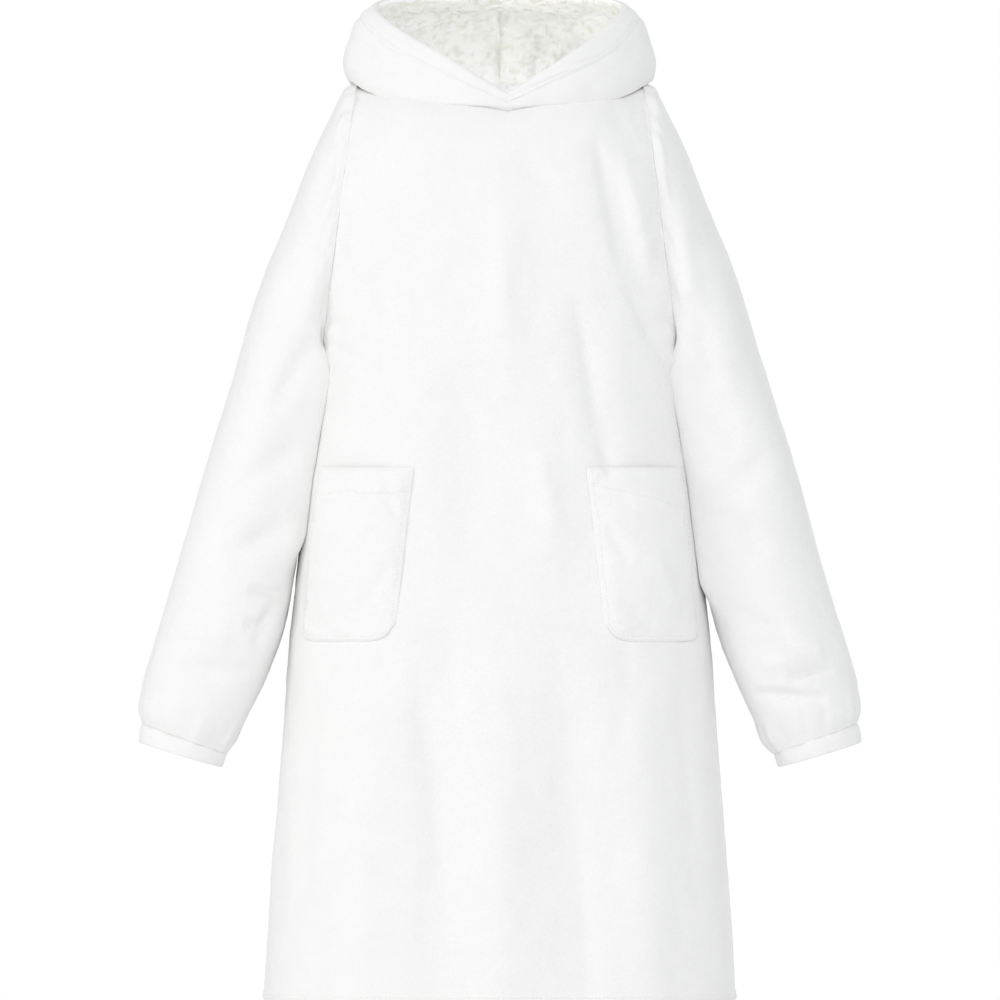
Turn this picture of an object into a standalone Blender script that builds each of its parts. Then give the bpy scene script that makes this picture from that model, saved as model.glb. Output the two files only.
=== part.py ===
# Wearable blanket hoodie: a long pull-on body with set-in sleeves, cuffs, patch pockets
# and a lined hood that lies back on the shoulders. It keeps its worn, hollow form.
# Metres, +Z up, the front faces -Y and the wearer's left is +X.
# The origin is the base of the neck, midway between the shoulders.

import bmesh
import bpy
import numpy as np

# Cloth
BODY_WALL = 0.004
HOOD_WALL = 0.003
LINING_WALL = 0.004
BAND_WALL = 0.0082
BAND_PROUD = 0.001
POCKET_WALL = 0.004
SEAM_GAP = 0.0003
# How far the hood's layers and the band keep from the seam between them
HOOD_TRIM = 0.0004
LINING_TRIM = 0.0034
BAND_TRIM = 0.0005
HEM_SWELL = 0.0015

# Armhole, a flattened oval from the shoulder tip down to the underarm
SHOULDER_TIP_X = 0.172
SHOULDER_TIP_Z = 0.008
UNDERARM_X = 0.218
UNDERARM_Z = -0.360
ARMHOLE_FRONT = 0.095
ARMHOLE_BACK = 0.105
ARMHOLE_ROUND = 0.77
ARMHOLE_STEPS = 12
# How far the mitre between panel and sleeve leans sideways, at the top and underneath
MITRE_TOP = 0.75
MITRE_UNDERARM = 0.12

# Neckline, an oval that dips at the front
NECK_HALF_WIDTH = 0.130
NECK_FRONT = 0.098
NECK_BACK = 0.085
NECK_SIDE_Y = 0.002
NECK_ANGLES = (0, 45, 90, 135, 180)
NECK_HEIGHTS = (-0.030, -0.0085, 0.0095, 0.004, -0.001)
NECK_LEAN = 0.009
NECK_STEPS = 7

# Body sections from the shoulders to the hem: height, half width at the side seam,
# depth at the middle of the front and of the back
BODY_HEIGHTS = (0.008, -0.10, -0.20, -0.36, -0.55, -0.66, -0.75, -0.85, -0.97, -1.092)
BODY_FRONT = (0.116, 0.131, 0.140, 0.146, 0.151, 0.155, 0.159, 0.165, 0.172, 0.179)
BODY_BACK = (0.118, 0.133, 0.140, 0.137, 0.136, 0.138, 0.142, 0.149, 0.157, 0.165)
SIDE_HEIGHTS = (-0.36, -0.42, -0.48, -0.55, -0.612, -0.66, -0.75, -0.85, -0.97, -1.092)
SIDE_HALF_WIDTH = (0.218, 0.2255, 0.2335, 0.2415, 0.2475, 0.2525, 0.2585, 0.267, 0.2765, 0.284)
SECTION_ROUND = 2.3
# Away from its edge the panel takes the armhole's depth more softly under the arm:
# heights, and the shares of that depth, which fade in over the last of the panel's width
SOFT_ARMHOLE_HEIGHTS = (-0.25, -0.30, -0.33, -0.36, -0.40, -0.44, -0.48)
SOFT_ARMHOLE_SHARES = (0.934, 0.792, 0.632, 0.45, 0.21, 0.05, 0.0)
ARMHOLE_EDGE_SHARE = 0.90
# How far below the neckline the rows take to settle, and how gently
SETTLE_HEIGHT = 0.10
SETTLE_HEIGHT_CURVE = 1.3
SETTLE_DEPTH = 0.03
SETTLE_DEPTH_CURVE = 0.75
COLUMNS = (0, 0.12, 0.24, 0.35, 0.45, 0.55, 0.65, 0.75, 0.83, 0.90, 0.95, 0.982, 1)
ROWS_BELOW = (
    -0.407, -0.454, -0.489, -0.532, -0.576, -0.620, -0.660,
    -0.715, -0.775, -0.835, -0.895, -0.955, -1.015, -1.0755, -1.0785, -1.092,
)
HEM_ROWS = 2

# How the folds fade towards their ends and towards the seams at the sides
FOLD_END_CURVE = 0.6
FOLD_EDGE_CURVE = 8
# Folds of the front and back as they hang: where each one starts and ends, how far
# it spreads to each side, and how far it stands out or, if negative, falls in
FRONT_FOLDS = (
    # x0, z0, x1, z1, spread, height
    (0.113, -0.060, 0.200, -0.330, 0.016, -0.007),
    (0.165, -0.080, 0.180, -0.250, 0.018, 0.006),
    (0.092, -0.250, 0.135, -0.470, 0.020, -0.006),
    (0.010, -0.130, 0.006, -0.380, 0.026, 0.006),
    (0.045, -0.440, 0.070, -0.560, 0.026, 0.006),
    (-0.042, -0.330, -0.035, -0.570, 0.030, -0.007),
    (-0.165, -0.180, -0.170, -0.400, 0.026, 0.005),
    (-0.070, -0.620, -0.066, -1.150, 0.034, -0.011),
    (0.000, -0.700, 0.004, -1.150, 0.032, 0.010),
    (0.080, -0.640, 0.096, -1.150, 0.034, -0.009),
    (0.165, -0.720, 0.185, -1.150, 0.030, 0.008),
    (-0.160, -0.700, -0.180, -1.150, 0.034, 0.009),
)
BACK_FOLDS = (
    (0.000, -0.220, 0.004, -0.560, 0.034, -0.008),
    (-0.105, -0.160, -0.090, -0.520, 0.030, 0.007),
    (0.100, -0.180, 0.086, -0.560, 0.030, 0.007),
    (0.180, -0.120, 0.150, -0.400, 0.024, -0.006),
    (-0.182, -0.140, -0.156, -0.390, 0.024, -0.006),
    (-0.010, -0.640, -0.016, -1.150, 0.036, 0.011),
    (0.085, -0.600, 0.098, -1.150, 0.034, -0.011),
    (-0.100, -0.620, -0.112, -1.150, 0.034, -0.010),
    (0.172, -0.680, 0.190, -1.150, 0.032, 0.010),
    (-0.178, -0.700, -0.196, -1.150, 0.032, 0.010),
)

# Sleeve sections from the armhole to the cuff seam: the outer edge and the inner edge
# as seen from the front, the depth to the front and the back, and the forward lean
SLEEVE_SECTIONS = (
    # outer x, z, inner x, z, front, back, lean
    (0.172, 0.008, 0.218, -0.360, 0.095, 0.105, 0.000),
    (0.184, 0.003, 0.2200, -0.366, 0.097, 0.106, 0.000),
    (0.203, -0.032, 0.2207, -0.371, 0.098, 0.107, 0.000),
    (0.223, -0.075, 0.2215, -0.377, 0.098, 0.106, 0.001),
    (0.250, -0.142, 0.2228, -0.387, 0.096, 0.103, 0.002),
    (0.275, -0.205, 0.2246, -0.401, 0.093, 0.098, 0.003),
    (0.299, -0.276, 0.2269, -0.419, 0.089, 0.093, 0.004),
    (0.321, -0.350, 0.2302, -0.444, 0.085, 0.088, 0.006),
    (0.343, -0.420, 0.2347, -0.478, 0.081, 0.083, 0.008),
    (0.362, -0.484, 0.2398, -0.522, 0.078, 0.079, 0.011),
    (0.380, -0.548, 0.2460, -0.580, 0.075, 0.075, 0.014),
    (0.399, -0.612, 0.2580, -0.645, 0.072, 0.072, 0.018),
    (0.416, -0.668, 0.2800, -0.706, 0.068, 0.068, 0.022),
    (0.4285, -0.714, 0.3020, -0.752, 0.062, 0.062, 0.025),
    (0.4315, -0.742, 0.3170, -0.783, 0.053, 0.053, 0.027),
    (0.4275, -0.758, 0.3265, -0.795, 0.045, 0.045, 0.028),
)
SLEEVE_ROUND = 0.98
CUFF_SECTIONS = (
    (0.4275, -0.758, 0.3265, -0.795, 0.045, 0.045, 0.028),
    (0.4310, -0.767, 0.3285, -0.800, 0.0455, 0.0455, 0.0285),
    (0.4330, -0.782, 0.3330, -0.812, 0.044, 0.044, 0.029),
)

# Hood sections from the neck seam, out over the shoulders and round the pouch behind,
# up to the rim: half width, reach to the front and the back, and the height at the
# front, halfway to the side, at the side, halfway to the back and at the back
HOOD_SECTIONS = (
    (0.130, 0.098, 0.085, -0.0300, -0.0085, 0.0095, 0.004, -0.001),
    (0.150, 0.1005, 0.112, -0.0275, -0.0055, 0.0140, 0.009, 0.007),
    (0.172, 0.103, 0.142, -0.0252, -0.0080, 0.0175, -0.010, -0.045),
    (0.186, 0.105, 0.182, -0.0232, -0.0030, 0.0290, -0.040, -0.130),
    (0.1875, 0.106, 0.228, -0.0215, 0.0080, 0.0435, -0.035, -0.115),
    (0.182, 0.1065, 0.250, -0.0200, 0.0200, 0.0600, 0.005, -0.045),
    (0.175, 0.107, 0.252, -0.0188, 0.0330, 0.0780, 0.055, 0.030),
    (0.163, 0.106, 0.225, -0.0176, 0.0460, 0.0940, 0.095, 0.088),
    (0.149, 0.104, 0.175, -0.0070, 0.0590, 0.1030, 0.120, 0.127),
)
HOOD_ROWS = 11
# Which section the band starts from, at the same angles round the hood
BAND_STARTS = (6.25, 6.35, 6.6, 7.35, 7.6)
BAND_ROWS = 2
# How far round from the front the hood's wall keeps its level thickness
HOOD_LEVEL_ANGLE = 0.55

# Pockets, laid out on the front panel's own columns and rows
POCKET_INNER_COLUMN = (3.92, 4.02, 4.04, 4.14, 4.26, 4.38, 4.46)
POCKET_COLUMNS = (5, 6, 7, 8, 9)
POCKET_OUTER_COLUMN = 9.62
POCKET_FIRST_ROW = ARMHOLE_STEPS + 2
POCKET_ROWS = (0, 0.93, 1.05, 2, 3, 4, 5)
POCKET_CORNER_LIFT = (0.55, 0.12, 0, 0, 0, 0.02, 0.22)
POCKET_HEM_ROWS = 2
POCKET_HEM_SWELL = 0.002
POCKET_BULGE = 0.024
POCKET_SIDE_CURVE = 0.6
POCKET_BOTTOM_CURVE = 3
POCKET_MOUTH_SHARE = 0.85
POCKET_LIFT = 0.0006

CLOTH_ROUGHNESS = 0.95
SHARP_ANGLE_DEG = 50
PLUSH_WHITE = (0.91, 0.91, 0.90)
SHERPA_WHITE = (0.87, 0.86, 0.80)


def smooth_through(places, values, at):
    """A smooth curve through rows of values, which never swings past them."""
    places = np.asarray(places, float)
    values = np.asarray(values, float)
    at = np.clip(np.asarray(at, float), places.min(), places.max())
    if places[0] > places[-1]:
        places = places[::-1]
        values = values[::-1]
    steps = np.diff(places)
    slopes = (np.diff(values, axis=0).T / steps).T
    before, after = slopes[:-1], slopes[1:]
    together = np.where(before * after > 0, before + after, 1.0)
    middle = np.where(before * after > 0, 2 * before * after / together, 0.0)
    tangents = np.concatenate([slopes[:1], middle, slopes[-1:]])
    left = np.clip(np.searchsorted(places, at, side="right") - 1, 0, len(steps) - 1)
    step = steps[left]
    t = (at - places[left]) / step
    shape = t.shape + (1,) * (values.ndim - 1)
    t, step = t.reshape(shape), step.reshape(shape)
    return (
        values[left] * (2 * t**3 - 3 * t**2 + 1)
        + values[left + 1] * (3 * t**2 - 2 * t**3)
        + tangents[left] * step * (t**3 - 2 * t**2 + t)
        + tangents[left + 1] * step * (t**3 - t**2)
    )


def unit(vectors):
    length = np.linalg.norm(vectors, axis=-1, keepdims=True)
    return vectors / np.maximum(length, 1e-9)


def armhole_centre():
    return (SHOULDER_TIP_X + UNDERARM_X) / 2, (SHOULDER_TIP_Z + UNDERARM_Z) / 2


def armhole_angles():
    return np.linspace(0, np.pi, ARMHOLE_STEPS + 1)


def side_half_width(z):
    """Half the width of a body panel: along the armhole above, the side seam below."""
    centre_x, centre_z = armhole_centre()
    slope = (SHOULDER_TIP_X - centre_x) / (SHOULDER_TIP_Z - centre_z)
    along_armhole = centre_x + slope * (z - centre_z)
    along_side = smooth_through(SIDE_HEIGHTS, SIDE_HALF_WIDTH, z)
    return np.where(z > UNDERARM_Z, along_armhole, along_side)


def neck_lean(angle):
    """The neckline's lowest point lies a little to the wearer's left."""
    return NECK_LEAN * np.clip(np.cos(angle), 0, 1) ** 2


def neck_point(angle, side):
    """A point of the neck seam, at an angle from the front: 0 in front, pi behind."""
    reach = np.where(angle < np.pi / 2, NECK_FRONT, NECK_BACK)
    x = side * NECK_HALF_WIDTH * np.sin(angle) + neck_lean(angle)
    y = NECK_SIDE_Y - reach * np.cos(angle)
    z = smooth_through(np.radians(NECK_ANGLES), NECK_HEIGHTS, angle)
    return np.stack([x, y, z], axis=-1)


def fold_heights(folds, x, z):
    """How far the folds move each point of a panel out or in."""
    total = np.zeros_like(x)
    for x0, z0, x1, z1, spread, height in folds:
        run_x, run_z = x1 - x0, z1 - z0
        length = np.hypot(run_x, run_z)
        along = ((x - x0) * run_x + (z - z0) * run_z) / length**2
        across = ((x - x0) * run_z - (z - z0) * run_x) / length
        inside = np.clip(along, 0, 1)
        ends = np.sin(np.pi * inside) ** FOLD_END_CURVE
        total += height * ends * np.exp(-((across / spread) ** 2))
    return total


def panel_rows():
    """Heights of a body panel's rows at its edge, from the shoulder to the hem."""
    _, centre_z = armhole_centre()
    above = centre_z + (SHOULDER_TIP_Z - centre_z) * np.cos(armhole_angles())
    return np.concatenate([above, ROWS_BELOW])


def edge_depth(facing):
    """How far the armhole edge lies in front of, or behind, the side seam, per row."""
    reach = ARMHOLE_FRONT if facing < 0 else ARMHOLE_BACK
    armhole = facing * reach * np.sin(armhole_angles()) ** ARMHOLE_ROUND
    armhole[-1] = 0
    return np.concatenate([armhole, np.zeros(len(ROWS_BELOW))])


def top_edge(facing, side):
    """Neckline points from the middle outwards, then the shoulder seam to its tip."""
    steps = np.linspace(0, np.pi / 2, NECK_STEPS + 1)
    angles = steps if facing < 0 else np.pi - steps
    neck = neck_point(angles, side)
    shares = np.array(COLUMNS[NECK_STEPS:])
    shares = (shares - shares[0]) / (shares[-1] - shares[0])
    tip = np.array([side * SHOULDER_TIP_X, 0, SHOULDER_TIP_Z])
    shoulder = neck[-1] + np.outer(shares, tip - neck[-1])
    return np.concatenate([neck, shoulder[1:]])


def half_panel(facing, side):
    """Points [column, row] of half a body panel, from its middle to its edge."""
    share = np.array(COLUMNS)[:, None]
    top = top_edge(facing, side)[:, None, :]
    rows = panel_rows()[None, :]
    edge = edge_depth(facing)[None, :]
    fade = np.exp(-(((rows[0, 0] - rows) / SETTLE_HEIGHT) ** SETTLE_HEIGHT_CURVE))
    z = rows + (top[..., 2] - rows[0, 0]) * fade
    flat_x = side * share * side_half_width(rows)
    top_x = side * share * side_half_width(rows[:, :1])
    x = flat_x + (top[..., 0] - top_x) * fade
    depths = BODY_FRONT if facing < 0 else BODY_BACK
    middle = facing * smooth_through(BODY_HEIGHTS, depths, z)
    # The section is a rounded tube, which the armhole cuts off at its own depth
    reach = ARMHOLE_FRONT if facing < 0 else ARMHOLE_BACK
    soft = reach * smooth_through(SOFT_ARMHOLE_HEIGHTS, SOFT_ARMHOLE_SHARES, rows)
    soft = np.where(rows > SOFT_ARMHOLE_HEIGHTS[0], np.abs(edge), soft)
    exact_cut, soft_cut = (
        (1 - (depth / np.abs(middle)) ** SECTION_ROUND) ** (1 / SECTION_ROUND)
        for depth in (np.abs(edge), soft)
    )
    near_edge = np.clip((share - ARMHOLE_EDGE_SHARE) / (1 - ARMHOLE_EDGE_SHARE), 0, 1) ** 2
    cut = soft_cut + (exact_cut - soft_cut) * near_edge
    low = middle * (1 - (share * cut) ** SECTION_ROUND) ** (1 / SECTION_ROUND)
    drop = np.maximum(top[..., 2] - z, 0)
    settle = np.exp(-((drop / SETTLE_DEPTH) ** SETTLE_DEPTH_CURVE))
    y = low + (top[..., 1] - low[:, :1]) * settle
    return np.stack([x, y, z], axis=-1)


def panel(facing, folds):
    """Outer points and outward directions of the whole front or back panel."""
    right = half_panel(facing, -1)
    left = half_panel(facing, 1)
    points = np.concatenate([right[::-1], left[1:]])
    share = np.concatenate([COLUMNS[::-1], COLUMNS[1:]])[:, None]
    outward = grid_directions(points, toward=(0, facing, 0))
    set_panel_seams(outward, facing)
    heights = fold_heights(folds, points[..., 0], points[..., 2])
    heights *= 1 - share**FOLD_EDGE_CURVE
    heights[:, 0] = 0
    points = points + outward * heights[..., None]
    outward = grid_directions(points, toward=(0, facing, 0))
    set_panel_seams(outward, facing)
    return points, outward


def grid_directions(points, toward, closed=False):
    """Unit directions square to a grid of points, on the side that faces toward."""
    if closed:
        across = np.roll(points, -1, axis=0) - np.roll(points, 1, axis=0)
    else:
        across = np.gradient(points, axis=0)
    along = np.gradient(points, axis=1)
    square = unit(np.cross(across, along))
    middle = square[square.shape[0] // 2, square.shape[1] // 2]
    return square if middle @ np.array(toward, float) > 0 else -square


def armhole_directions(side):
    """Directions in which the cloth is mitred round the armhole, top to bottom."""
    angle = armhole_angles()
    lean = MITRE_UNDERARM + (MITRE_TOP - MITRE_UNDERARM) * np.cos(angle / 2) ** 2
    sideways = side * lean
    return sideways, np.sin(angle), np.cos(angle)


def set_panel_seams(outward, facing):
    """Give the panel's edges the directions that they share with their neighbours."""
    last = ARMHOLE_STEPS
    steps = len(COLUMNS) - 1
    for column, side in ((0, -1), (-1, 1)):
        sideways, forward, up = armhole_directions(side)
        outward[column, : last + 1] = unit(np.stack([sideways, facing * forward, up], axis=-1))
        outward[column, last + 1 :] = (side, 0, 0)
    for side in (-1, 1):
        neck_columns = steps + side * np.arange(NECK_STEPS + 1)
        angles = np.linspace(0, np.pi / 2, NECK_STEPS + 1)
        if facing > 0:
            angles = np.pi - angles
        level = np.stack([side * np.sin(angles), -np.cos(angles), 0 * angles], axis=-1)
        outward[neck_columns, 0] = level
        shoulder_columns = steps + side * np.arange(NECK_STEPS + 1, steps)
        outward[shoulder_columns, 0] = (0, 0, 1)


def part_panel_seams(outer, inner, facing):
    """Draw a body panel back from its neighbours by half the gap on each seam."""
    half = SEAM_GAP / 2
    last = ARMHOLE_STEPS
    steps = len(COLUMNS) - 1
    for skin in (outer, inner):
        skin[0, : last + 1, 0] += half
        skin[-1, : last + 1, 0] -= half
        skin[[0, -1], last:, 1] += facing * half
        skin[: steps - NECK_STEPS + 1, 0, 1] += facing * half
        skin[steps + NECK_STEPS :, 0, 1] += facing * half
        skin[steps - NECK_STEPS : steps + NECK_STEPS + 1, 0, 2] -= half


def sections_to_rings(sections, side):
    """Rings of a sleeve or a cuff, [around, along], through its table of sections."""
    outer_x, outer_z, inner_x, inner_z, front, back, lean = np.array(sections).T[:, None, :]
    around = np.concatenate([armhole_angles(), np.pi + armhole_angles()[1:-1]])[:, None]
    near_armhole = np.clip((outer_z - outer_z.min()) / (SHOULDER_TIP_Z - outer_z.min()), 0, 1)
    roundness = SLEEVE_ROUND + (ARMHOLE_ROUND - SLEEVE_ROUND) * near_armhole
    swing = np.cos(around)
    deep = np.abs(np.sin(around)) ** roundness
    facing = np.where(around < np.pi, -front, back)
    x = (outer_x + inner_x) / 2 + (outer_x - inner_x) / 2 * swing
    z = (outer_z + inner_z) / 2 + (outer_z - inner_z) / 2 * swing
    y = facing * deep - lean
    return np.stack([side * x, y, z], axis=-1)


def sleeve(side):
    """Outer points and outward directions of a sleeve, [around, along]."""
    points = sections_to_rings(SLEEVE_SECTIONS, side)
    outward = ring_directions(points)
    sideways, forward, up = armhole_directions(side)
    front = unit(np.stack([sideways, -forward, up], axis=-1))
    back = unit(np.stack([sideways, forward, up], axis=-1))
    outward[:, 0] = np.concatenate([front, back[-2:0:-1]])
    return points, outward


def ring_directions(points):
    """Unit directions out of a tube given as closed rings, [around, along]."""
    across = np.roll(points, -1, axis=0) - np.roll(points, 1, axis=0)
    along = np.gradient(points, axis=1)
    square = unit(np.cross(across, along))
    middle = points.mean(axis=0, keepdims=True)
    sign = np.sign(((points - middle) * square).sum(axis=-1).mean())
    return square * sign


def hood_points(side):
    """Points [around, row] of the hood's outer face, from the neck seam to the rim."""
    last = len(HOOD_SECTIONS) - 1
    sections = np.array(HOOD_SECTIONS)
    angles = np.linspace(0, np.pi, 2 * NECK_STEPS + 1)
    band_starts = smooth_through(np.radians(NECK_ANGLES), BAND_STARTS, angles)
    heights = smooth_through(np.radians(NECK_ANGLES), sections[:, 3:].T, angles)
    columns = []
    for angle, band_start, height in zip(angles, band_starts, heights):
        below = np.linspace(0, band_start, HOOD_ROWS + 1)
        at = np.concatenate([below, np.linspace(band_start, last, BAND_ROWS + 1)[1:]])
        reach = sections[:, 1] if angle < np.pi / 2 else sections[:, 2]
        x = side * sections[:, 0] * np.sin(angle) + neck_lean(angle)
        y = NECK_SIDE_Y - reach * np.cos(angle)
        profile = np.stack([x, y, height], axis=-1)
        columns.append(smooth_through(np.arange(last + 1), profile, at))
    return np.array(columns)


def hood_directions(points, side):
    """Directions out of the hood's wall, level along the neck seam."""
    across = np.gradient(points, axis=0)
    along = np.gradient(points, axis=1)
    outward = unit(np.cross(across, along)) * side
    outward[[0, -1], :, 0] = 0
    angle = np.linspace(0, np.pi, len(points))
    level = np.stack([side * np.sin(angle), -np.cos(angle), 0 * angle], axis=-1)
    outward[:, 0] = level
    front = np.exp(-((angle / HOOD_LEVEL_ANGLE) ** 4))[:, None, None]
    return unit(outward * (1 - front) + level[:, None] * front)


def new_material(name, colour):
    material = bpy.data.materials.new(name)
    material.use_nodes = True
    shader = material.node_tree.nodes["Principled BSDF"]
    shader.inputs["Base Color"].default_value = (*colour, 1)
    shader.inputs["Roughness"].default_value = CLOTH_ROUGHNESS
    shader.inputs["Metallic"].default_value = 0
    return material


def add_wall(name, outer, inner, collection, colour, closed=False):
    """Make one closed wall between two grids of points with matching rows."""
    around, along = outer.shape[:2]
    mesh_data = bmesh.new()
    skins = []
    for skin in (outer, inner):
        skins.append([[mesh_data.verts.new(point) for point in column] for column in skin])
    columns = range(around if closed else around - 1)
    for column in columns:
        after = (column + 1) % around
        for row in range(along - 1):
            for skin in skins:
                mesh_data.faces.new((
                    skin[column][row],
                    skin[after][row],
                    skin[after][row + 1],
                    skin[column][row + 1],
                ))
        for row in (0, along - 1):
            mesh_data.faces.new((
                skins[0][column][row],
                skins[0][after][row],
                skins[1][after][row],
                skins[1][column][row],
            ))
    if not closed:
        for column in (0, around - 1):
            for row in range(along - 1):
                mesh_data.faces.new((
                    skins[0][column][row],
                    skins[0][column][row + 1],
                    skins[1][column][row + 1],
                    skins[1][column][row],
                ))
    bmesh.ops.triangulate(mesh_data, faces=mesh_data.faces[:])
    bmesh.ops.recalc_face_normals(mesh_data, faces=mesh_data.faces[:])
    mesh = bpy.data.meshes.new(name)
    mesh_data.to_mesh(mesh)
    mesh_data.free()
    mesh.shade_smooth()
    mesh.set_sharp_from_angle(angle=np.radians(SHARP_ANGLE_DEG))
    mesh.materials.append(new_material(name + "_cloth", colour))
    wall = bpy.data.objects.new(name, mesh)
    collection.objects.link(wall)
    return wall


def build_body(collection):
    """The front and back panels. Returns the front's points and directions."""
    front = None
    for name, facing, folds in (("front", -1, FRONT_FOLDS), ("back", 1, BACK_FOLDS)):
        points, outward = panel(facing, folds)
        if facing < 0:
            front = (points.copy(), outward.copy())
        outer = points.copy()
        outer[:, -HEM_ROWS:] += outward[:, -HEM_ROWS:] * HEM_SWELL
        inner = points - outward * BODY_WALL
        part_panel_seams(outer, inner, facing)
        add_wall(name, outer, inner, collection, PLUSH_WHITE)
    return front


def build_sleeves(collection):
    for name, side in (("left", 1), ("right", -1)):
        points, outward = sleeve(side)
        outer = points.copy()
        inner = points - outward * BODY_WALL
        down = unit(points[:, -1] - points[:, -2])
        for skin in (outer, inner):
            skin[:, 0, 0] += side * SEAM_GAP / 2
            skin[:, -1] -= down * SEAM_GAP / 2
        add_wall("sleeve_" + name, outer, inner, collection, PLUSH_WHITE, closed=True)
        cuff = sections_to_rings(CUFF_SECTIONS, side)
        cuff_outward = ring_directions(cuff)
        cuff_outward[:, 0] = outward[:, -1]
        cuff_outer = cuff.copy()
        cuff_inner = cuff - cuff_outward * BODY_WALL
        for skin in (cuff_outer, cuff_inner):
            skin[:, 0] += down * SEAM_GAP / 2
        add_wall("cuff_" + name, cuff_outer, cuff_inner, collection, PLUSH_WHITE, closed=True)


def build_hood(collection):
    """The outer panels and the lining, which end where the band begins."""
    half = SEAM_GAP / 2
    below_band = slice(0, HOOD_ROWS + 1)
    for name, side in (("left", 1), ("right", -1)):
        whole = hood_points(side)
        outward = hood_directions(whole, side)[:, below_band]
        points = whole[:, below_band]
        upward = unit(points[:, -1] - points[:, -2])
        layers = (
            ("hood_" + name, 0, HOOD_WALL, HOOD_TRIM, PLUSH_WHITE),
            ("hood_lining_" + name, HOOD_WALL + SEAM_GAP, LINING_WALL, LINING_TRIM, SHERPA_WHITE),
        )
        for node, depth, wall, trim, colour in layers:
            outer = points - outward * depth
            inner = points - outward * (depth + wall)
            for skin in (outer, inner):
                skin[[0, -1], :, 0] += side * half
                skin[:, 0, 2] += half
                skin[:, -1] -= upward * trim
            add_wall(node, outer, inner, collection, colour)


def build_hood_band(collection):
    """The strip round the hood's opening, in one length that meets at the front."""
    right, left = hood_points(-1), hood_points(1)
    right_out, left_out = hood_directions(right, -1), hood_directions(left, 1)
    points = np.concatenate([right[:-1], left[::-1]])[:, HOOD_ROWS:]
    outward = np.concatenate([right_out[:-1], left_out[::-1]])[:, HOOD_ROWS:]
    upward = unit(points[:, 1] - points[:, 0])
    outer = points + outward * BAND_PROUD
    inner = outer - outward * BAND_WALL
    for skin in (outer, inner):
        skin[0, :, 0] -= SEAM_GAP / 2
        skin[-1, :, 0] += SEAM_GAP / 2
        skin[:, 0] += upward * BAND_TRIM
    add_wall("hood_band", outer, inner, collection, PLUSH_WHITE)


def on_grid(values, column, row):
    """Read a grid of points between its columns and rows."""
    left = np.clip(np.floor(column).astype(int), 0, values.shape[0] - 2)
    above = np.clip(np.floor(row).astype(int), 0, values.shape[1] - 2)
    u = (column - left)[..., None]
    v = (row - above)[..., None]
    return (
        values[left, above] * (1 - u) * (1 - v)
        + values[left + 1, above] * u * (1 - v)
        + values[left, above + 1] * (1 - u) * v
        + values[left + 1, above + 1] * u * v
    )


def build_pockets(collection, front):
    """Patch pockets made from the front panel's points, moved out."""
    points, outward = front
    middle = len(COLUMNS) - 1
    rows = len(POCKET_ROWS)
    column = np.array([
        [inner, *POCKET_COLUMNS, POCKET_OUTER_COLUMN] for inner in POCKET_INNER_COLUMN
    ]).T
    row = np.tile(np.array(POCKET_ROWS, float), (len(column), 1))
    row[:, -1] -= POCKET_CORNER_LIFT
    across = np.linspace(0, 1, len(column))[:, None]
    down = np.linspace(0, 1, rows)[None, :]
    open_share = POCKET_MOUTH_SHARE + (1 - POCKET_MOUTH_SHARE) * np.sin(np.pi * down)
    bulge = POCKET_BULGE * np.sin(np.pi * across) ** POCKET_SIDE_CURVE * open_share
    bulge = bulge * (1 - down**POCKET_BOTTOM_CURVE)
    swell = np.where(np.arange(rows) < POCKET_HEM_ROWS, POCKET_HEM_SWELL, 0)[None, :]
    for name, side in (("left", 1), ("right", -1)):
        at = middle + side * column
        base = on_grid(points, at, POCKET_FIRST_ROW + row)
        square = unit(on_grid(outward, at, POCKET_FIRST_ROW + row))
        inner = base + square * (POCKET_LIFT + bulge)[..., None]
        outer = inner + square * (POCKET_WALL + swell)[..., None]
        add_wall("pocket_" + name, outer, inner, collection, PLUSH_WHITE)


def main():
    for leftover in list(bpy.data.objects):
        bpy.data.objects.remove(leftover, do_unlink=True)
    collection = bpy.data.collections.new("wearable_blanket_hoodie")
    bpy.context.scene.collection.children.link(collection)
    front = build_body(collection)
    build_sleeves(collection)
    build_hood(collection)
    build_hood_band(collection)
    build_pockets(collection, front)


main()
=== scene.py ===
import math

import bpy
import numpy as np
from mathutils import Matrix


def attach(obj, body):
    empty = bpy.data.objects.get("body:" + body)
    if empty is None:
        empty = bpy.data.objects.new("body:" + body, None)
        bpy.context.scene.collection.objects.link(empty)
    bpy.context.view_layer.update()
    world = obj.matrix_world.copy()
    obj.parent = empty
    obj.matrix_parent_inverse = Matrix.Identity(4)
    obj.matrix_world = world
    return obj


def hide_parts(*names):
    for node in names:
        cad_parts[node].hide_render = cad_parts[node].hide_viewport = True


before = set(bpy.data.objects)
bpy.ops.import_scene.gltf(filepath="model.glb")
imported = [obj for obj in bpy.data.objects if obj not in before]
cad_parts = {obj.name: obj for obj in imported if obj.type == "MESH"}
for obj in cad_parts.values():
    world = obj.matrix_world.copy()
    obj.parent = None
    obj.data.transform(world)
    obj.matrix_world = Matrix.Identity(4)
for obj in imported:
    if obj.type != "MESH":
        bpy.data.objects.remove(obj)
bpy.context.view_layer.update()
print("frame loaded")


# small helpers

def hexColour(code):
    # sRGB hex to the linear values that Blender's colours use
    values = [int(code[i:i + 2], 16) / 255 for i in (0, 2, 4)]
    linear = [v / 12.92 if v <= 0.04045 else ((v + 0.055) / 1.055) ** 2.4 for v in values]
    return (*linear, 1)


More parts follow.
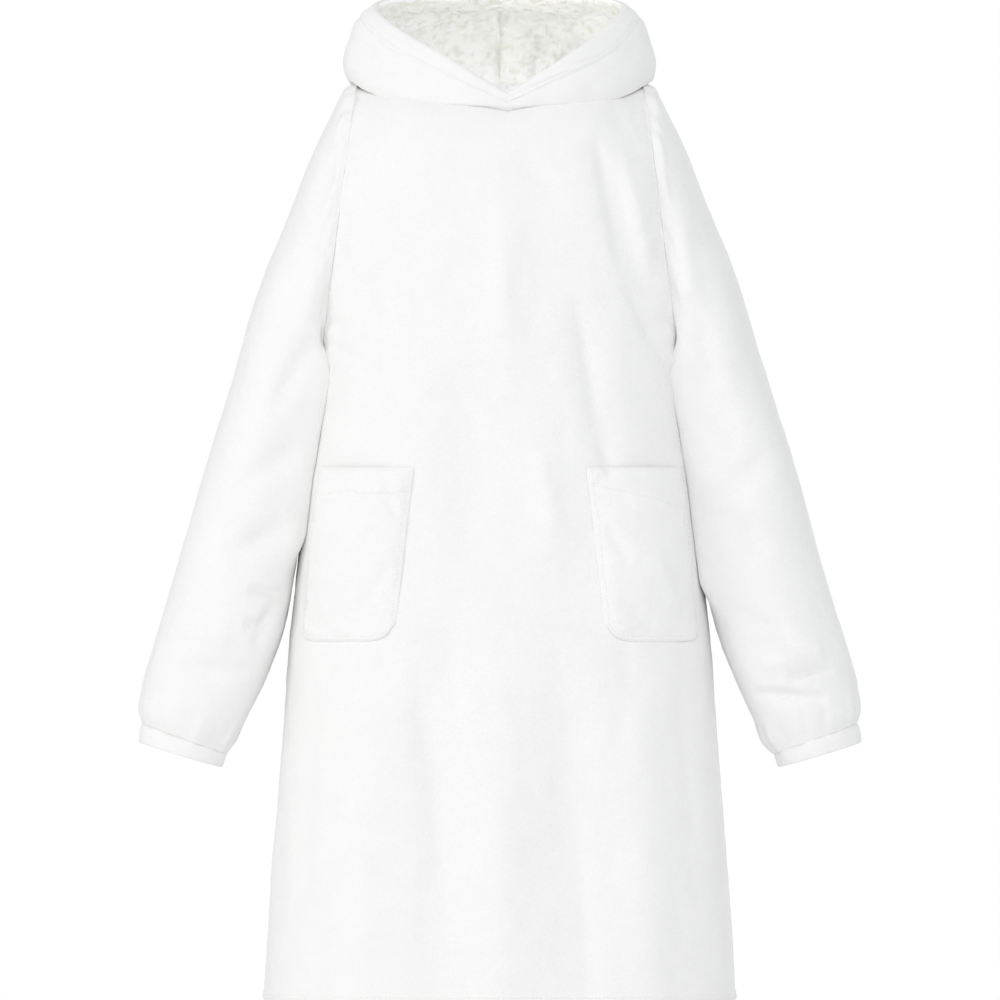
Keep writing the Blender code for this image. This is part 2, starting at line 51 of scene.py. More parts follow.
def smoothThrough(places, values, at):
    # a smooth curve through rows of values that never swings past them
    places = np.asarray(places, float)
    values = np.asarray(values, float)
    at = np.clip(np.asarray(at, float), places.min(), places.max())
    if places[0] > places[-1]:
        places = places[::-1]
        values = values[::-1]
    steps = np.diff(places)
    slopes = (np.diff(values, axis=0).T / steps).T
    before, after = slopes[:-1], slopes[1:]
    together = np.where(before * after > 0, before + after, 1.0)
    middle = np.where(before * after > 0, 2 * before * after / together, 0.0)
    tangents = np.concatenate([slopes[:1], middle, slopes[-1:]])
    left = np.clip(np.searchsorted(places, at, side="right") - 1, 0, len(steps) - 1)
    step = steps[left]
    t = (at - places[left]) / step
    shape = t.shape + (1,) * (values.ndim - 1)
    t, step = t.reshape(shape), step.reshape(shape)
    return (
        values[left] * (2 * t**3 - 3 * t**2 + 1)
        + values[left + 1] * (3 * t**2 - 2 * t**3)
        + tangents[left] * step * (t**3 - 2 * t**2 + t)
        + tangents[left + 1] * step * (t**3 - t**2)
    )


def unit(vectors):
    return vectors / np.maximum(np.linalg.norm(vectors, axis=-1, keepdims=True), 1e-9)


def bell(distance, width):
    # 1 on a soft ridge, falling to 0 within about two widths of it
    return np.exp(-((distance / width) ** 2))


def ridge(distance, height, place, width):
    # a soft ridge at that distance from a seam, or a groove where the height is negative
    return height * bell(distance - place, width)


def rise(distance, run):
    # climbs evenly from 0 to 1 over the run
    return np.clip(distance / run, 0, 1)


def roundedEdge(distance, radius, least=0.02):
    # share of the full thickness that rounds off an edge of cloth
    return np.sqrt(np.clip(1 - (1 - rise(distance, radius)) ** 2, least, 1))


def inMetres(rows):
    # a table that is written in millimetres
    return [tuple(value / 1000 for value in row) for row in rows]


def softNoise(points, size, seed):
    # smooth lumps of about that size, from -1 to 1, the same on every run
    place = np.asarray(points, float) / np.asarray(size, float)
    cell = np.floor(place).astype(np.int64)
    part = place - cell
    part = part * part * (3 - 2 * part)
    total = 0
    for corner in np.ndindex(2, 2, 2):
        # large primes and bit shifts mix the corner's place with the seed
        x, y, z = (cell[..., k] + corner[k] for k in range(3))
        key = (x * 73856093 + y * 19349663 + z * 83492791 + seed * 97531) & 0x7FFFFFFF
        key = (key ^ (key >> 13)) * 1274126177 & 0x7FFFFFFF
        key = (key ^ (key >> 16)) & 0xFFFF
        near = [part[..., k] if corner[k] else 1 - part[..., k] for k in range(3)]
        total = total + near[0] * near[1] * near[2] * (key / 32767.5 - 1)
    return total


def creaseHeights(creases, x, z):
    # how far a list of creases moves each point out, or in where the height is negative
    total = np.zeros_like(x)
    for x0, z0, x1, z1, spread, height in creases:
        runX, runZ = x1 - x0, z1 - z0
        length = math.hypot(runX, runZ)
        along = ((x - x0) * runX + (z - z0) * runZ) / length**2
        across = ((x - x0) * runZ - (z - z0) * runX) / length
        ends = np.sin(np.pi * np.clip(along, 0, 1)) ** 0.6
        total += height * ends * bell(across, spread)
    return total


def gridDirections(points, toward=None, closed=False):
    # unit directions square to a grid of points
    if closed:
        across = np.roll(points, -1, axis=0) - np.roll(points, 1, axis=0)
    else:
        across = np.gradient(points, axis=0)
    square = unit(np.cross(across, np.gradient(points, axis=1)))
    if toward is None:
        centre = points.mean(axis=0, keepdims=True)
        return square * np.sign(((points - centre) * square).sum(axis=-1).mean())
    middle = square[square.shape[0] // 2, square.shape[1] // 2]
    return square if middle @ np.array(toward, float) > 0 else -square


def borderDistances(points):
    # distance of each grid point from the first and last column and the first and last row
    across = np.linalg.norm(np.diff(points, axis=0), axis=-1)
    along = np.linalg.norm(np.diff(points, axis=1), axis=-1)
    zeroColumn = np.zeros((1, points.shape[1]))
    zeroRow = np.zeros((points.shape[0], 1))
    fromFirstColumn = np.concatenate([zeroColumn, np.cumsum(across, axis=0)])
    fromFirstRow = np.concatenate([zeroRow, np.cumsum(along, axis=1)], axis=1)
    return (
        fromFirstColumn, fromFirstColumn[-1:] - fromFirstColumn,
        fromFirstRow, fromFirstRow[:, -1:] - fromFirstRow,
    )


def onGrid(values, column, row):
    # read a grid of points between its columns and rows
    column = np.clip(np.asarray(column, float), 0, values.shape[0] - 1)
    row = np.clip(np.asarray(row, float), 0, values.shape[1] - 1)
    left = np.minimum(np.floor(column).astype(int), values.shape[0] - 2)
    above = np.minimum(np.floor(row).astype(int), values.shape[1] - 2)
    u = (column - left)[..., None]
    v = (row - above)[..., None]
    return (
        values[left, above] * (1 - u) * (1 - v)
        + values[left + 1, above] * u * (1 - v)
        + values[left, above + 1] * (1 - u) * v
        + values[left + 1, above + 1] * u * v
    )


def placed(name, mesh):
    mesh.update()
    piece = bpy.data.objects.new(name, mesh)
    bpy.context.scene.collection.objects.link(piece)
    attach(piece, "root")
    return piece


def clothPiece(name, outer, inner, outerMaterial, innerMaterial, closed=False, depth=None):
    # one closed shell of cloth between two grids of points with matching rows
    around, along = outer.shape[:2]
    count = around * along
    index = np.arange(count).reshape(around, along)
    after = np.roll(index, -1, axis=0) if closed else index[1:]
    here = index if closed else index[:-1]
    faces = np.stack([here[:, :-1], after[:, :-1], after[:, 1:], here[:, 1:]], axis=-1).reshape(-1, 4)
    rims = [np.stack([here[:, row], after[:, row], after[:, row] + count, here[:, row] + count], axis=-1)
            for row in (0, along - 1)]
    rims[0] = rims[0][:, ::-1]
    if not closed:
        first, last = (np.stack([side[:-1], side[1:], side[1:] + count, side[:-1] + count], axis=-1)
                       for side in (index[0], index[-1]))
        rims += [first, last[:, ::-1]]
    everyFace = np.concatenate([faces, faces[:, ::-1] + count, *rims])
    points = np.concatenate([outer.reshape(-1, 3), inner.reshape(-1, 3)])
    # the outer face looks away from the inner one
    half = len(faces) // 2
    corner = points[faces[half]]
    square = np.cross(corner[1] - corner[0], corner[3] - corner[0])
    if square @ (corner[0] - points[faces[half][0] + count]) < 0:
        everyFace = everyFace[:, ::-1]
    mesh = bpy.data.meshes.new(name)
    mesh.from_pydata(points.tolist(), [], everyFace.tolist())
    for material in (outerMaterial, innerMaterial):
        mesh.materials.append(material)
    slots = np.zeros(len(everyFace), dtype=np.int32)
    slots[len(faces):2 * len(faces)] = 1
    mesh.polygons.foreach_set("material_index", slots)
    mesh.polygons.foreach_set("use_smooth", np.ones(len(everyFace), dtype=bool))
    # the cloth's cut edges stay crisp, so that seams meet without a dark line
    border = np.zeros((around, along), dtype=bool)
    border[:, [0, -1]] = True
    if not closed:
        border[[0, -1]] = True
    border = border.ravel()
    ends = np.zeros(2 * len(mesh.edges), dtype=np.int32)
    mesh.edges.foreach_get("vertices", ends)
    ends = ends.reshape(-1, 2)
    sameSkin = (ends[:, 0] < count) == (ends[:, 1] < count)
    crisp = mesh.attributes.new("sharp_edge", "BOOLEAN", "EDGE")
    crisp.data.foreach_set("value", sameSkin & border[ends[:, 0] % count] & border[ends[:, 1] % count])
    if depth is not None:
        # how deep each point lies in the pile, for the painted shade between the curls
        shade = mesh.attributes.new("pileDepth", "FLOAT", "POINT")
        shade.data.foreach_set("value", np.concatenate([depth.ravel(), depth.ravel()]).astype(np.float32))
    return placed(name, mesh)


stitchSize = {
    "length": 0.0032,            # metres, long stitches that hold the thick pile
    "gap": 0.0013,
    "thick": 0.00055,
    "lift": 0.0002,              # how far the row lies above the cloth
    "sides": 5,
}


def stitches(name, path, outward, material):
    # a row of short raised stitches along a path of points
    length, thick, sides = stitchSize["length"], stitchSize["thick"], stitchSize["sides"]
    steps = np.linalg.norm(np.diff(path, axis=0), axis=1)
    run = np.concatenate([[0], np.cumsum(steps)])
    pitch = length + stitchSize["gap"]
    points, faces = [], []
    for start in np.arange(0, run[-1] - pitch, pitch):
        ends = [np.array([np.interp(start + share * length, run, path[:, k]) for k in range(3)])
                for share in (0, 0.5, 1)]
        out = np.array([np.interp(start + length / 2, run, outward[:, k]) for k in range(3)])
        forward = unit(ends[2] - ends[0])
        sideways = unit(np.cross(forward, out))
        out = unit(np.cross(sideways, forward))
        base = len(points)
        # three rings: the ends are thinner and sink into the pile
        for place, lift, wide in ((ends[0], -0.6, 0.5), (ends[1], 0.5, 1.0), (ends[2], -0.6, 0.5)):
            middle = place + out * thick * lift
            for turn in range(sides):
                angle = 2 * math.pi * turn / sides
                away = sideways * math.cos(angle) + out * math.sin(angle)
                points.append(middle + away * thick * wide)
        for ring in (base, base + sides):
            for turn in range(sides):
                here, after = ring + turn, ring + (turn + 1) % sides
                faces.append((here, after, after + sides, here + sides))
        faces.append(tuple(base + sides - 1 - turn for turn in range(sides)))
        faces.append(tuple(base + 2 * sides + turn for turn in range(sides)))
    mesh = bpy.data.meshes.new(name)
    mesh.from_pydata([tuple(p) for p in points], [], faces)
    mesh.materials.append(material)
    mesh.polygons.foreach_set("use_smooth", np.ones(len(faces), dtype=bool))
    return placed(name, mesh)


# materials

def addNode(tree, kind, settings=None, links=None):
    # settings: input or property values; links: input name to another node's output
    node = tree.nodes.new(kind)
    for key, value in (settings or {}).items():
        if key in node.inputs:
            node.inputs[key].default_value = value
        else:
            setattr(node, key, value)
    for key, source in (links or {}).items():
        tree.links.new(source, node.inputs[key])
    return node


def newMaterial(name):
    material = bpy.data.materials.new(name)
    material.use_nodes = True
    tree = material.node_tree
    return material, tree, addNode(tree, "ShaderNodeTexCoord").outputs["Object"]


def noise(tree, place, size, detail, **more):
    # lumps of about that size in metres, on the cloth's own place
    settings = {"Scale": 1 / size, "Detail": detail, **more}
    return addNode(tree, "ShaderNodeTexNoise", settings, {"Vector": place}).outputs["Fac"]


def bump(tree, strength, height, source, under=None):
    links = {"Height": source, "Normal": under} if under else {"Height": source}
    settings = {"Strength": strength, "Distance": height}
    return addNode(tree, "ShaderNodeBump", settings, links).outputs["Normal"]


def blendColours(tree, share, first, second):
    mix = addNode(tree, "ShaderNodeMix", {"data_type": "RGBA"}, {0: share})
    mix.inputs[6].default_value = hexColour(first)
    mix.inputs[7].default_value = hexColour(second)
    return mix.outputs[2]


def setShader(tree, links, values):
    shader = tree.nodes["Principled BSDF"]
    for name, source in links.items():
        tree.links.new(source, shader.inputs[name])
    for name, value in values.items():
        shader.inputs[name].default_value = value


fleeceLook = {
    "colour": "F1F1F0",          # clean white
    "shadedNap": "ECECEB",       # where the pile is brushed the other way
    "napSize": 0.045,            # metres, patches of brushed pile
    "pileSize": 0.0016,          # metres, tufts of the short pile, drawn coarser than its fibres
    "lumpSize": 0.007,           # metres, soft clumping of the pile
    "pileHeight": 0.0006,
    "lumpHeight": 0.0007,
    "roughness": 0.95,
    "sheen": 0.06,
}


def brushedFleece(name, look):
    # polyester flannel fleece, knitted, sheared and brushed: matt, with a faint bright nap
    material, tree, place = newMaterial(name)
    nap = noise(tree, place, look["napSize"], 3.0, Roughness=0.6)
    lumps = noise(tree, place, look["lumpSize"], 2.0)
    pile = noise(tree, place, look["pileSize"], 2.0)
    lumpy = bump(tree, 0.55, look["lumpHeight"], lumps)
    setShader(tree, {
        "Base Color": blendColours(tree, nap, look["shadedNap"], look["colour"]),
        "Normal": bump(tree, 0.6, look["pileHeight"], pile, lumpy),
    }, {
        "Roughness": look["roughness"],
        "Sheen Weight": look["sheen"],
        "Sheen Roughness": 0.45,
        "Specular IOR Level": 0.2,
    })
    return material


sherpaLook = {
    "tip": "FEFEFC",             # warm white tips of the curls
    "root": "E5E5DC",            # painted shade between the curls, yellowish, where the pile lies low
    "curlSize": 0.0042,          # metres
    "fibreSize": 0.0011,         # drawn coarser than the real fibres, which would not show
    "curlHeight": 0.0012,
    "fibreHeight": 0.0004,
    "soak": 0.45,                # share of the light that soaks through the loose curls
    "soakDepth": 0.010,
    "paintedGlow": 0.10,                # painted glow: light the lining gives off of its own, to lift the shade inside the hood
    "roughness": 0.95,
    "sheen": 0.25,
}


def curlySherpa(name, look, shaded):
    # polyester sherpa, a knitted pile tumbled into curls: matt and warm, with painted shade between the
    # curls and a painted glow
    material, tree, place = newMaterial(name)
    curls = noise(tree, place, look["curlSize"], 2.5, Distortion=1.2)
    fibres = noise(tree, place, look["fibreSize"], 1.5)
    depth = curls
    if shaded:
        depth = addNode(tree, "ShaderNodeAttribute", {"attribute_name": "pileDepth"}).outputs["Fac"]
    # painted shade: the colour darkens to the root colour where the curls lie low, from the mesh's pile
    # depth or else from the same noise as the bump
    spread = addNode(tree, "ShaderNodeMapRange", {"From Min": 0.1, "From Max": 0.7}, {"Value": depth})
    curly = bump(tree, 0.8, look["curlHeight"], curls)
    setShader(tree, {
        "Base Color": blendColours(tree, spread.outputs["Result"], look["root"], look["tip"]),
        "Normal": bump(tree, 0.5, look["fibreHeight"], fibres, curly),
    }, {
        "Roughness": look["roughness"],
        "Subsurface Weight": look["soak"],
        "Subsurface Radius": (1.0, 0.95, 0.85),
        "Subsurface Scale": look["soakDepth"],
        # painted glow: the pile gives off light of its own in the colour of the curls' tips
        "Emission Color": hexColour(look["tip"]),
        "Emission Strength": look["paintedGlow"],
        "Sheen Weight": look["sheen"],
        "Sheen Roughness": 0.5,
        "Specular IOR Level": 0.2,
    })
    return material


threadLook = {
    "colour": "F3F3F0",
    "twistSize": 0.0004,         # metres, the turns of the spun thread
    "twistHeight": 0.0001,
    "roughness": 0.6,
}


def spunThread(name, look):
    # spun polyester sewing thread: slightly smoother than the pile around it
    material, tree, place = newMaterial(name)
    twist = noise(tree, place, look["twistSize"], 1.0)
    setShader(tree, {"Normal": bump(tree, 0.3, look["twistHeight"], twist)}, {
        "Base Color": hexColour(look["colour"]),
        "Roughness": look["roughness"],
    })
    return material


fleece = brushedFleece("brushedFlannelFleece", fleeceLook)
sherpa = curlySherpa("curlySherpaPile", sherpaLook, True)
sherpaInside = curlySherpa("curlySherpaInside", sherpaLook, False)
thread = spunThread("spunPolyesterThread", threadLook)
print("materials made")


# the cut of the body

bodyCloth = {
    "wall": 0.004,
    "columns": 72,               # from the middle of a panel to its edge
    "rows": 225,                 # from the shoulder to the hem
    "armholeRows": 96,           # of them beside the armhole
    "crumple": 0.0011,           # metres, soft dents all over the fleece
    "foldDepth": {"front": 1.0, "back": 1.3},
    "creaseDepth": 1.6,          # how strongly the smaller creases show
    "calmEdge": 0.02,            # metres from a seam where dents have their full depth
    # ridges and grooves, here and below: height, metres from the seam, width
    "seamDip": (-0.0008, 0, 0.006),
    "pucker": (0.0030, 0.010, 0.012),
    "neckLift": (0.0020, 0, 0.012),
    "hemGroove": (-0.0009, 0, 0.0028),
    "sidePucker": 0.45,          # share of the gathers that the side seam has
    "backSeamShift": 0.4,        # metres along the seam, so that the back's gathers differ
    "hemHeight": 0.0135,
    "hemSwell": 0.0016,          # the double cloth of the hem, and how far its edges slope
    "hemStep": 0.004,
    "hemRipple": 0.0007,         # the lower edge waves a little
    "hemRippleSize": 0.022,
    "hemRippleReach": 0.03,
    "hemEdge": 0.003,            # metres over which the hem's fold is rounded
    "sideGap": 0.0001,           # kept open between front and back at the side seams
    "sideSetBack": 0.00015,
}

shoulderTip = (0.172, 0.008)
underarm = (0.218, -0.360)
armholeDepth = {"front": 0.095, "back": 0.105}
armholeRound = 0.77
armholeSteps = 12
mitreLean = (0.12, 0.75)         # under the arm, at the top

neckHalfWidth = 0.130
neckFront = 0.098
neckBack = 0.085
neckSideY = 0.002
neckAngles = (0, 45, 90, 135, 180)
neckHeights = (-0.030, -0.0085, 0.0095, 0.004, -0.001)
neckShift = 0.009                # the V stands a little to the wearer's left
neckSteps = 7                    # seam columns along half the neckline
panelColumns = 12                # seam columns along half a panel
neckCloth = {
    "cornerFade": 0.012,         # metres below the seam where the neckline's corner is gone
    "cornerRound": 18,           # mesh columns each way that round the corner off
    "topFade": 0.10,             # metres over which the neckline's line fades down the panel
    "topPower": 1.3,
    "settle": 0.018,             # metres over which the cloth falls from neckline to chest
    "settlePower": 0.75,
    "edgeShare": 0.90,           # past this share of the width the armhole sets the depth
}

bodyHeights = (0.008, -0.10, -0.20, -0.36, -0.55, -0.66, -0.75, -0.85, -0.97, -1.092)
bodyDepth = {
    "front": (0.116, 0.131, 0.140, 0.146, 0.151, 0.155, 0.159, 0.165, 0.172, 0.179),
    "back": (0.118, 0.133, 0.140, 0.137, 0.136, 0.138, 0.142, 0.149, 0.157, 0.165),
}
sideHeights = (-0.36, -0.42, -0.48, -0.55, -0.612, -0.66, -0.75, -0.85, -0.97, -1.092)
sideHalfWidth = (0.218, 0.2255, 0.2335, 0.2415, 0.2475, 0.2525, 0.2585, 0.267, 0.2765, 0.284)
sectionRound = 2.7
# under the arm the panel takes the armhole's depth softly, away from its edge
softHeights = (-0.25, -0.30, -0.33, -0.36, -0.40, -0.44, -0.48)
softShares = (0.934, 0.792, 0.632, 0.45, 0.21, 0.05, 0.0)
columnShares = (0, 0.12, 0.24, 0.35, 0.45, 0.55, 0.65, 0.75, 0.83, 0.90, 0.95, 0.982, 1)
rowsBelow = (
    -0.407, -0.454, -0.489, -0.532, -0.576, -0.620, -0.660,
    -0.715, -0.775, -0.835, -0.895, -0.955, -1.015, -1.0755, -1.0785, -1.092,
)
lastRow = armholeSteps + len(rowsBelow)

# millimetres: x and z where each fold starts and ends, its spread, and how far it stands out or falls in
mainFolds = {
    "front": inMetres((
        (113, -60, 200, -330, 16, -7), (165, -80, 180, -250, 18, 6),
        (92, -250, 135, -470, 20, -6), (10, -130, 6, -380, 26, 6),
        (45, -440, 70, -560, 26, 6), (-42, -330, -35, -570, 30, -7),
        (-165, -180, -170, -400, 26, 5), (-70, -620, -66, -1150, 34, -11),
        (0, -700, 4, -1150, 32, 10), (80, -640, 96, -1150, 34, -9),
        (165, -720, 185, -1150, 30, 8), (-160, -700, -180, -1150, 34, 9),
    )),
    "back": inMetres((
        (0, -220, 4, -560, 34, -8), (-105, -160, -90, -520, 30, 7),
        (100, -180, 86, -560, 30, 7), (180, -120, 150, -400, 24, -6),
        (-182, -140, -156, -390, 24, -6), (-10, -640, -16, -1150, 36, 11),
        (85, -600, 98, -1150, 34, -11), (-100, -620, -112, -1150, 34, -10),
        (172, -680, 190, -1150, 32, 10), (-178, -700, -196, -1150, 32, 10),
    )),
}
# smaller creases that lie on the folds
fineCreases = {
    "front": inMetres((
        (114, -55, 147, -230, 7, -2.2), (147, -230, 206, -345, 7, -2.6),
        (143, -70, 177, -225, 9, 2.2), (92, -258, 118, -415, 8, -2),
        (118, -415, 133, -472, 7, -2.2), (0, -140, 3, -300, 12, 1.6),
        (45, -430, 67, -535, 11, 1.8), (-62, -350, -12, -420, 12, -1.6),
        (-155, -220, -128, -275, 10, -2.4), (-200, -180, -140, -225, 10, 1.6),
        (-186, -105, -152, -150, 7, -2.2), (-208, -250, -170, -262, 8, -1.8),
        (-214, -300, -160, -330, 8, -2), (186, -150, 160, -190, 7, -1.6),
        (204, -270, 165, -300, 8, -1.8), (-105, -655, -60, -960, 15, -2.2),
        (-30, -690, -22, -980, 14, 2), (95, -900, 110, -1100, 13, -2.2),
        (150, -660, 140, -820, 13, -1.6), (215, -640, 236, -980, 12, -2.2),
        (-218, -680, -240, -1020, 13, -2), (-100, -100, -20, -170, 14, -1.2),
        (20, -75, 75, -140, 13, -1.2),
    )),
    "back": inMetres((
        (-30, -130, 60, -240, 14, -1.6), (120, -100, 168, -240, 9, -2.2),
        (-118, -110, -166, -250, 9, -2.2), (-60, -330, -30, -460, 12, 1.8),
        (40, -360, 66, -520, 12, -2), (205, -270, 160, -310, 8, -2),
        (-206, -290, -156, -320, 8, -2), (-50, -650, -40, -960, 14, -2.2),
        (30, -700, 40, -1020, 14, 2), (130, -640, 146, -930, 13, 2),
        (-150, -660, -160, -960, 13, 2), (226, -620, 240, -960, 12, -2),
        (-226, -600, -244, -940, 12, -2),
    )),
}


def armholeCentre():
    return (shoulderTip[0] + underarm[0]) / 2, (shoulderTip[1] + underarm[1]) / 2


def sideHalf(z):
    centreX, centreZ = armholeCentre()
    slope = (shoulderTip[0] - centreX) / (shoulderTip[1] - centreZ)
    below = smoothThrough(sideHeights, sideHalfWidth, z)
    return np.where(z > underarm[1], centreX + slope * (z - centreZ), below)


def neckLean(angle):
    return neckShift * np.clip(np.cos(angle), 0, 1) ** 2


def neckPoint(angle, side):
    # 0 is the front of the neckline, pi the back
    reach = np.where(angle < np.pi / 2, neckFront, neckBack)
    x = side * neckHalfWidth * np.sin(angle) + neckLean(angle)
    return np.stack([
        x, neckSideY - reach * np.cos(angle),
        smoothThrough(np.radians(neckAngles), neckHeights, angle),
    ], axis=-1)


def rowHeight(row):
    _, centreZ = armholeCentre()
    turn = np.pi * np.clip(row, 0, armholeSteps) / armholeSteps
    above = centreZ + (shoulderTip[1] - centreZ) * np.cos(turn)
    below = np.interp(row, np.arange(armholeSteps, lastRow + 1), (underarm[1], *rowsBelow))
    return np.where(row <= armholeSteps, above, below)


def panelPoints(facing, column, row):
    # points of a body panel: column runs from -12 at one edge to 12 at the other
    word = "front" if facing < 0 else "back"
    column = np.asarray(column, float)[:, None]
    row = np.asarray(row, float)[None, :]
    side = np.where(column < 0, -1.0, 1.0)
    away = np.abs(column)
    share = smoothThrough(np.arange(panelColumns + 1), columnShares, away)
    steps = np.clip(away / neckSteps, 0, 1) * np.pi / 2
    neck = neckPoint(steps if facing < 0 else np.pi - steps, side)
    tip = np.stack([side * shoulderTip[0], 0 * side, 0 * side + shoulderTip[1]], axis=-1)
    onShoulder = np.clip((share - columnShares[neckSteps]) / (1 - columnShares[neckSteps]), 0, 1)[..., None]
    top = neck + onShoulder * (tip - neck)
    level = rowHeight(row)
    below = np.maximum(shoulderTip[1] - level, 0)
    # the corner between neckline and shoulder fades out below the seam
    reach = neckCloth["cornerRound"]
    spread = np.exp(-0.5 * np.linspace(-3, 3, 2 * reach + 1) ** 2)
    padded = np.pad(top[:, 0], ((reach, reach), (0, 0)), mode="reflect", reflect_type="odd")
    soft = [np.convolve(padded[:, k], spread / spread.sum(), mode="valid") for k in range(3)]
    soft = np.stack(soft, axis=-1)[:, None]
    keep = np.maximum(np.exp(-below / neckCloth["cornerFade"]), share**12)[..., None]
    top = soft + (top - soft) * keep
    deepest = armholeDepth[word]
    swing = np.clip(np.sin(np.pi * np.clip(row, 0, armholeSteps) / armholeSteps), 0, 1)
    edge = np.where(row < armholeSteps, deepest * swing**armholeRound, 0.0)
    fade = np.exp(-((below / neckCloth["topFade"]) ** neckCloth["topPower"]))
    z = level + (top[..., 2] - shoulderTip[1]) * fade
    x = side * share * sideHalf(level) + (top[..., 0] - side * share * shoulderTip[0]) * fade
    middle = facing * smoothThrough(bodyHeights, bodyDepth[word], z)
    # a rounded section, which the armhole cuts off at its own depth
    soft = np.where(level > softHeights[0], edge, deepest * smoothThrough(softHeights, softShares, level))
    exactCut, softCut = ((1 - (depth / np.abs(middle)) ** sectionRound) ** (1 / sectionRound)
                         for depth in (edge, soft))
    atEdge = np.clip((share - neckCloth["edgeShare"]) / (1 - neckCloth["edgeShare"]), 0, 1) ** 2
    cut = softCut + (exactCut - softCut) * atEdge
    low = middle * np.maximum(1 - (share * cut) ** sectionRound, 0) ** (1 / sectionRound)
    drop = np.maximum(top[..., 2] - z, 0)
    settled = np.exp(-((drop / neckCloth["settle"]) ** neckCloth["settlePower"]))
    y = low + (top[..., 1] - low[:, :1]) * settled
    x = x + 0 * y
    return np.stack([x, y, z + 0 * y], axis=-1), share + 0 * level


def armholeOut(side, turn):
    # the direction in which panel and sleeve are mitred; turn runs from 0 on top to pi below
    lean = mitreLean[0] + (mitreLean[1] - mitreLean[0]) * np.cos(turn / 2) ** 2
    return side * lean, np.sin(turn), np.cos(turn)


def setPanelSeams(outward, facing, column, row):
    # near its edges the panel shares its neighbours' directions
    turn = np.pi * np.clip(row, 0, armholeSteps) / armholeSteps
    for side, at in ((-1, 0), (1, -1)):
        sideways, forward, up = armholeOut(side, turn)
        mitre = unit(np.stack([sideways, facing * forward, up], axis=-1))
        mitre[row > armholeSteps] = (side, 0, 0)
        near = np.clip(1 - panelColumns + side * column, 0, 1)[:, None, None]
        outward[:] = unit(outward * (1 - near) + mitre[None] * near)
    steps = np.clip(np.abs(column) / neckSteps, 0, 1) * np.pi / 2
    if facing > 0:
        steps = np.pi - steps
    side = np.where(column < 0, -1, 1)
    level = np.stack([side * np.sin(steps), -np.cos(steps), 0 * steps], axis=-1)
    level[np.abs(column) > neckSteps] = (0, 0, 1)
    near = np.clip(1 - row, 0, 1)[None, :, None]
    inside = (np.abs(column) < panelColumns)[:, None, None]
    near = near * inside
    outward[:] = unit(outward * (1 - near) + level[:, None] * near)


def panelGrid(facing, column, row):
    # outer points and outward directions of a whole panel, with its folds
    word = "front" if facing < 0 else "back"
    points, share = panelPoints(facing, column, row)
    outward = gridDirections(points, (0, facing, 0))
    setPanelSeams(outward, facing, column, row)
    heights = bodyCloth["foldDepth"][word] * creaseHeights(mainFolds[word], points[..., 0], points[..., 2])
    heights += bodyCloth["creaseDepth"] * creaseHeights(fineCreases[word], points[..., 0], points[..., 2])
    # every fold ends before it reaches a seam
    heights = heights * (1 - share**8) * np.clip(row, 0, 1)[None, :]
    return points + outward * heights[..., None], share


fleeceDents = (
    # size in x, y and z in metres, share of the height: long dents, then smaller ones
    ((0.045, 0.045, 0.085), 1.0),
    ((0.018, 0.018, 0.026), 0.55),
    ((0.0085, 0.0085, 0.010), 0.28),
)


def fleeceSurface(points, amount, seed):
    # the soft, uneven surface of brushed fleece
    dents = [share * softNoise(points, size, seed + k) for k, (size, share) in enumerate(fleeceDents)]
    return amount * sum(dents)


def puckers(length, seed, pitch=0.016):
    # uneven gathers along a seam, from -1 to 1
    spot = np.stack([length, 0 * length, 0 * length], axis=-1)
    return softNoise(spot, pitch, seed) * 0.7 + softNoise(spot, pitch / 2.3, seed + 1) * 0.4


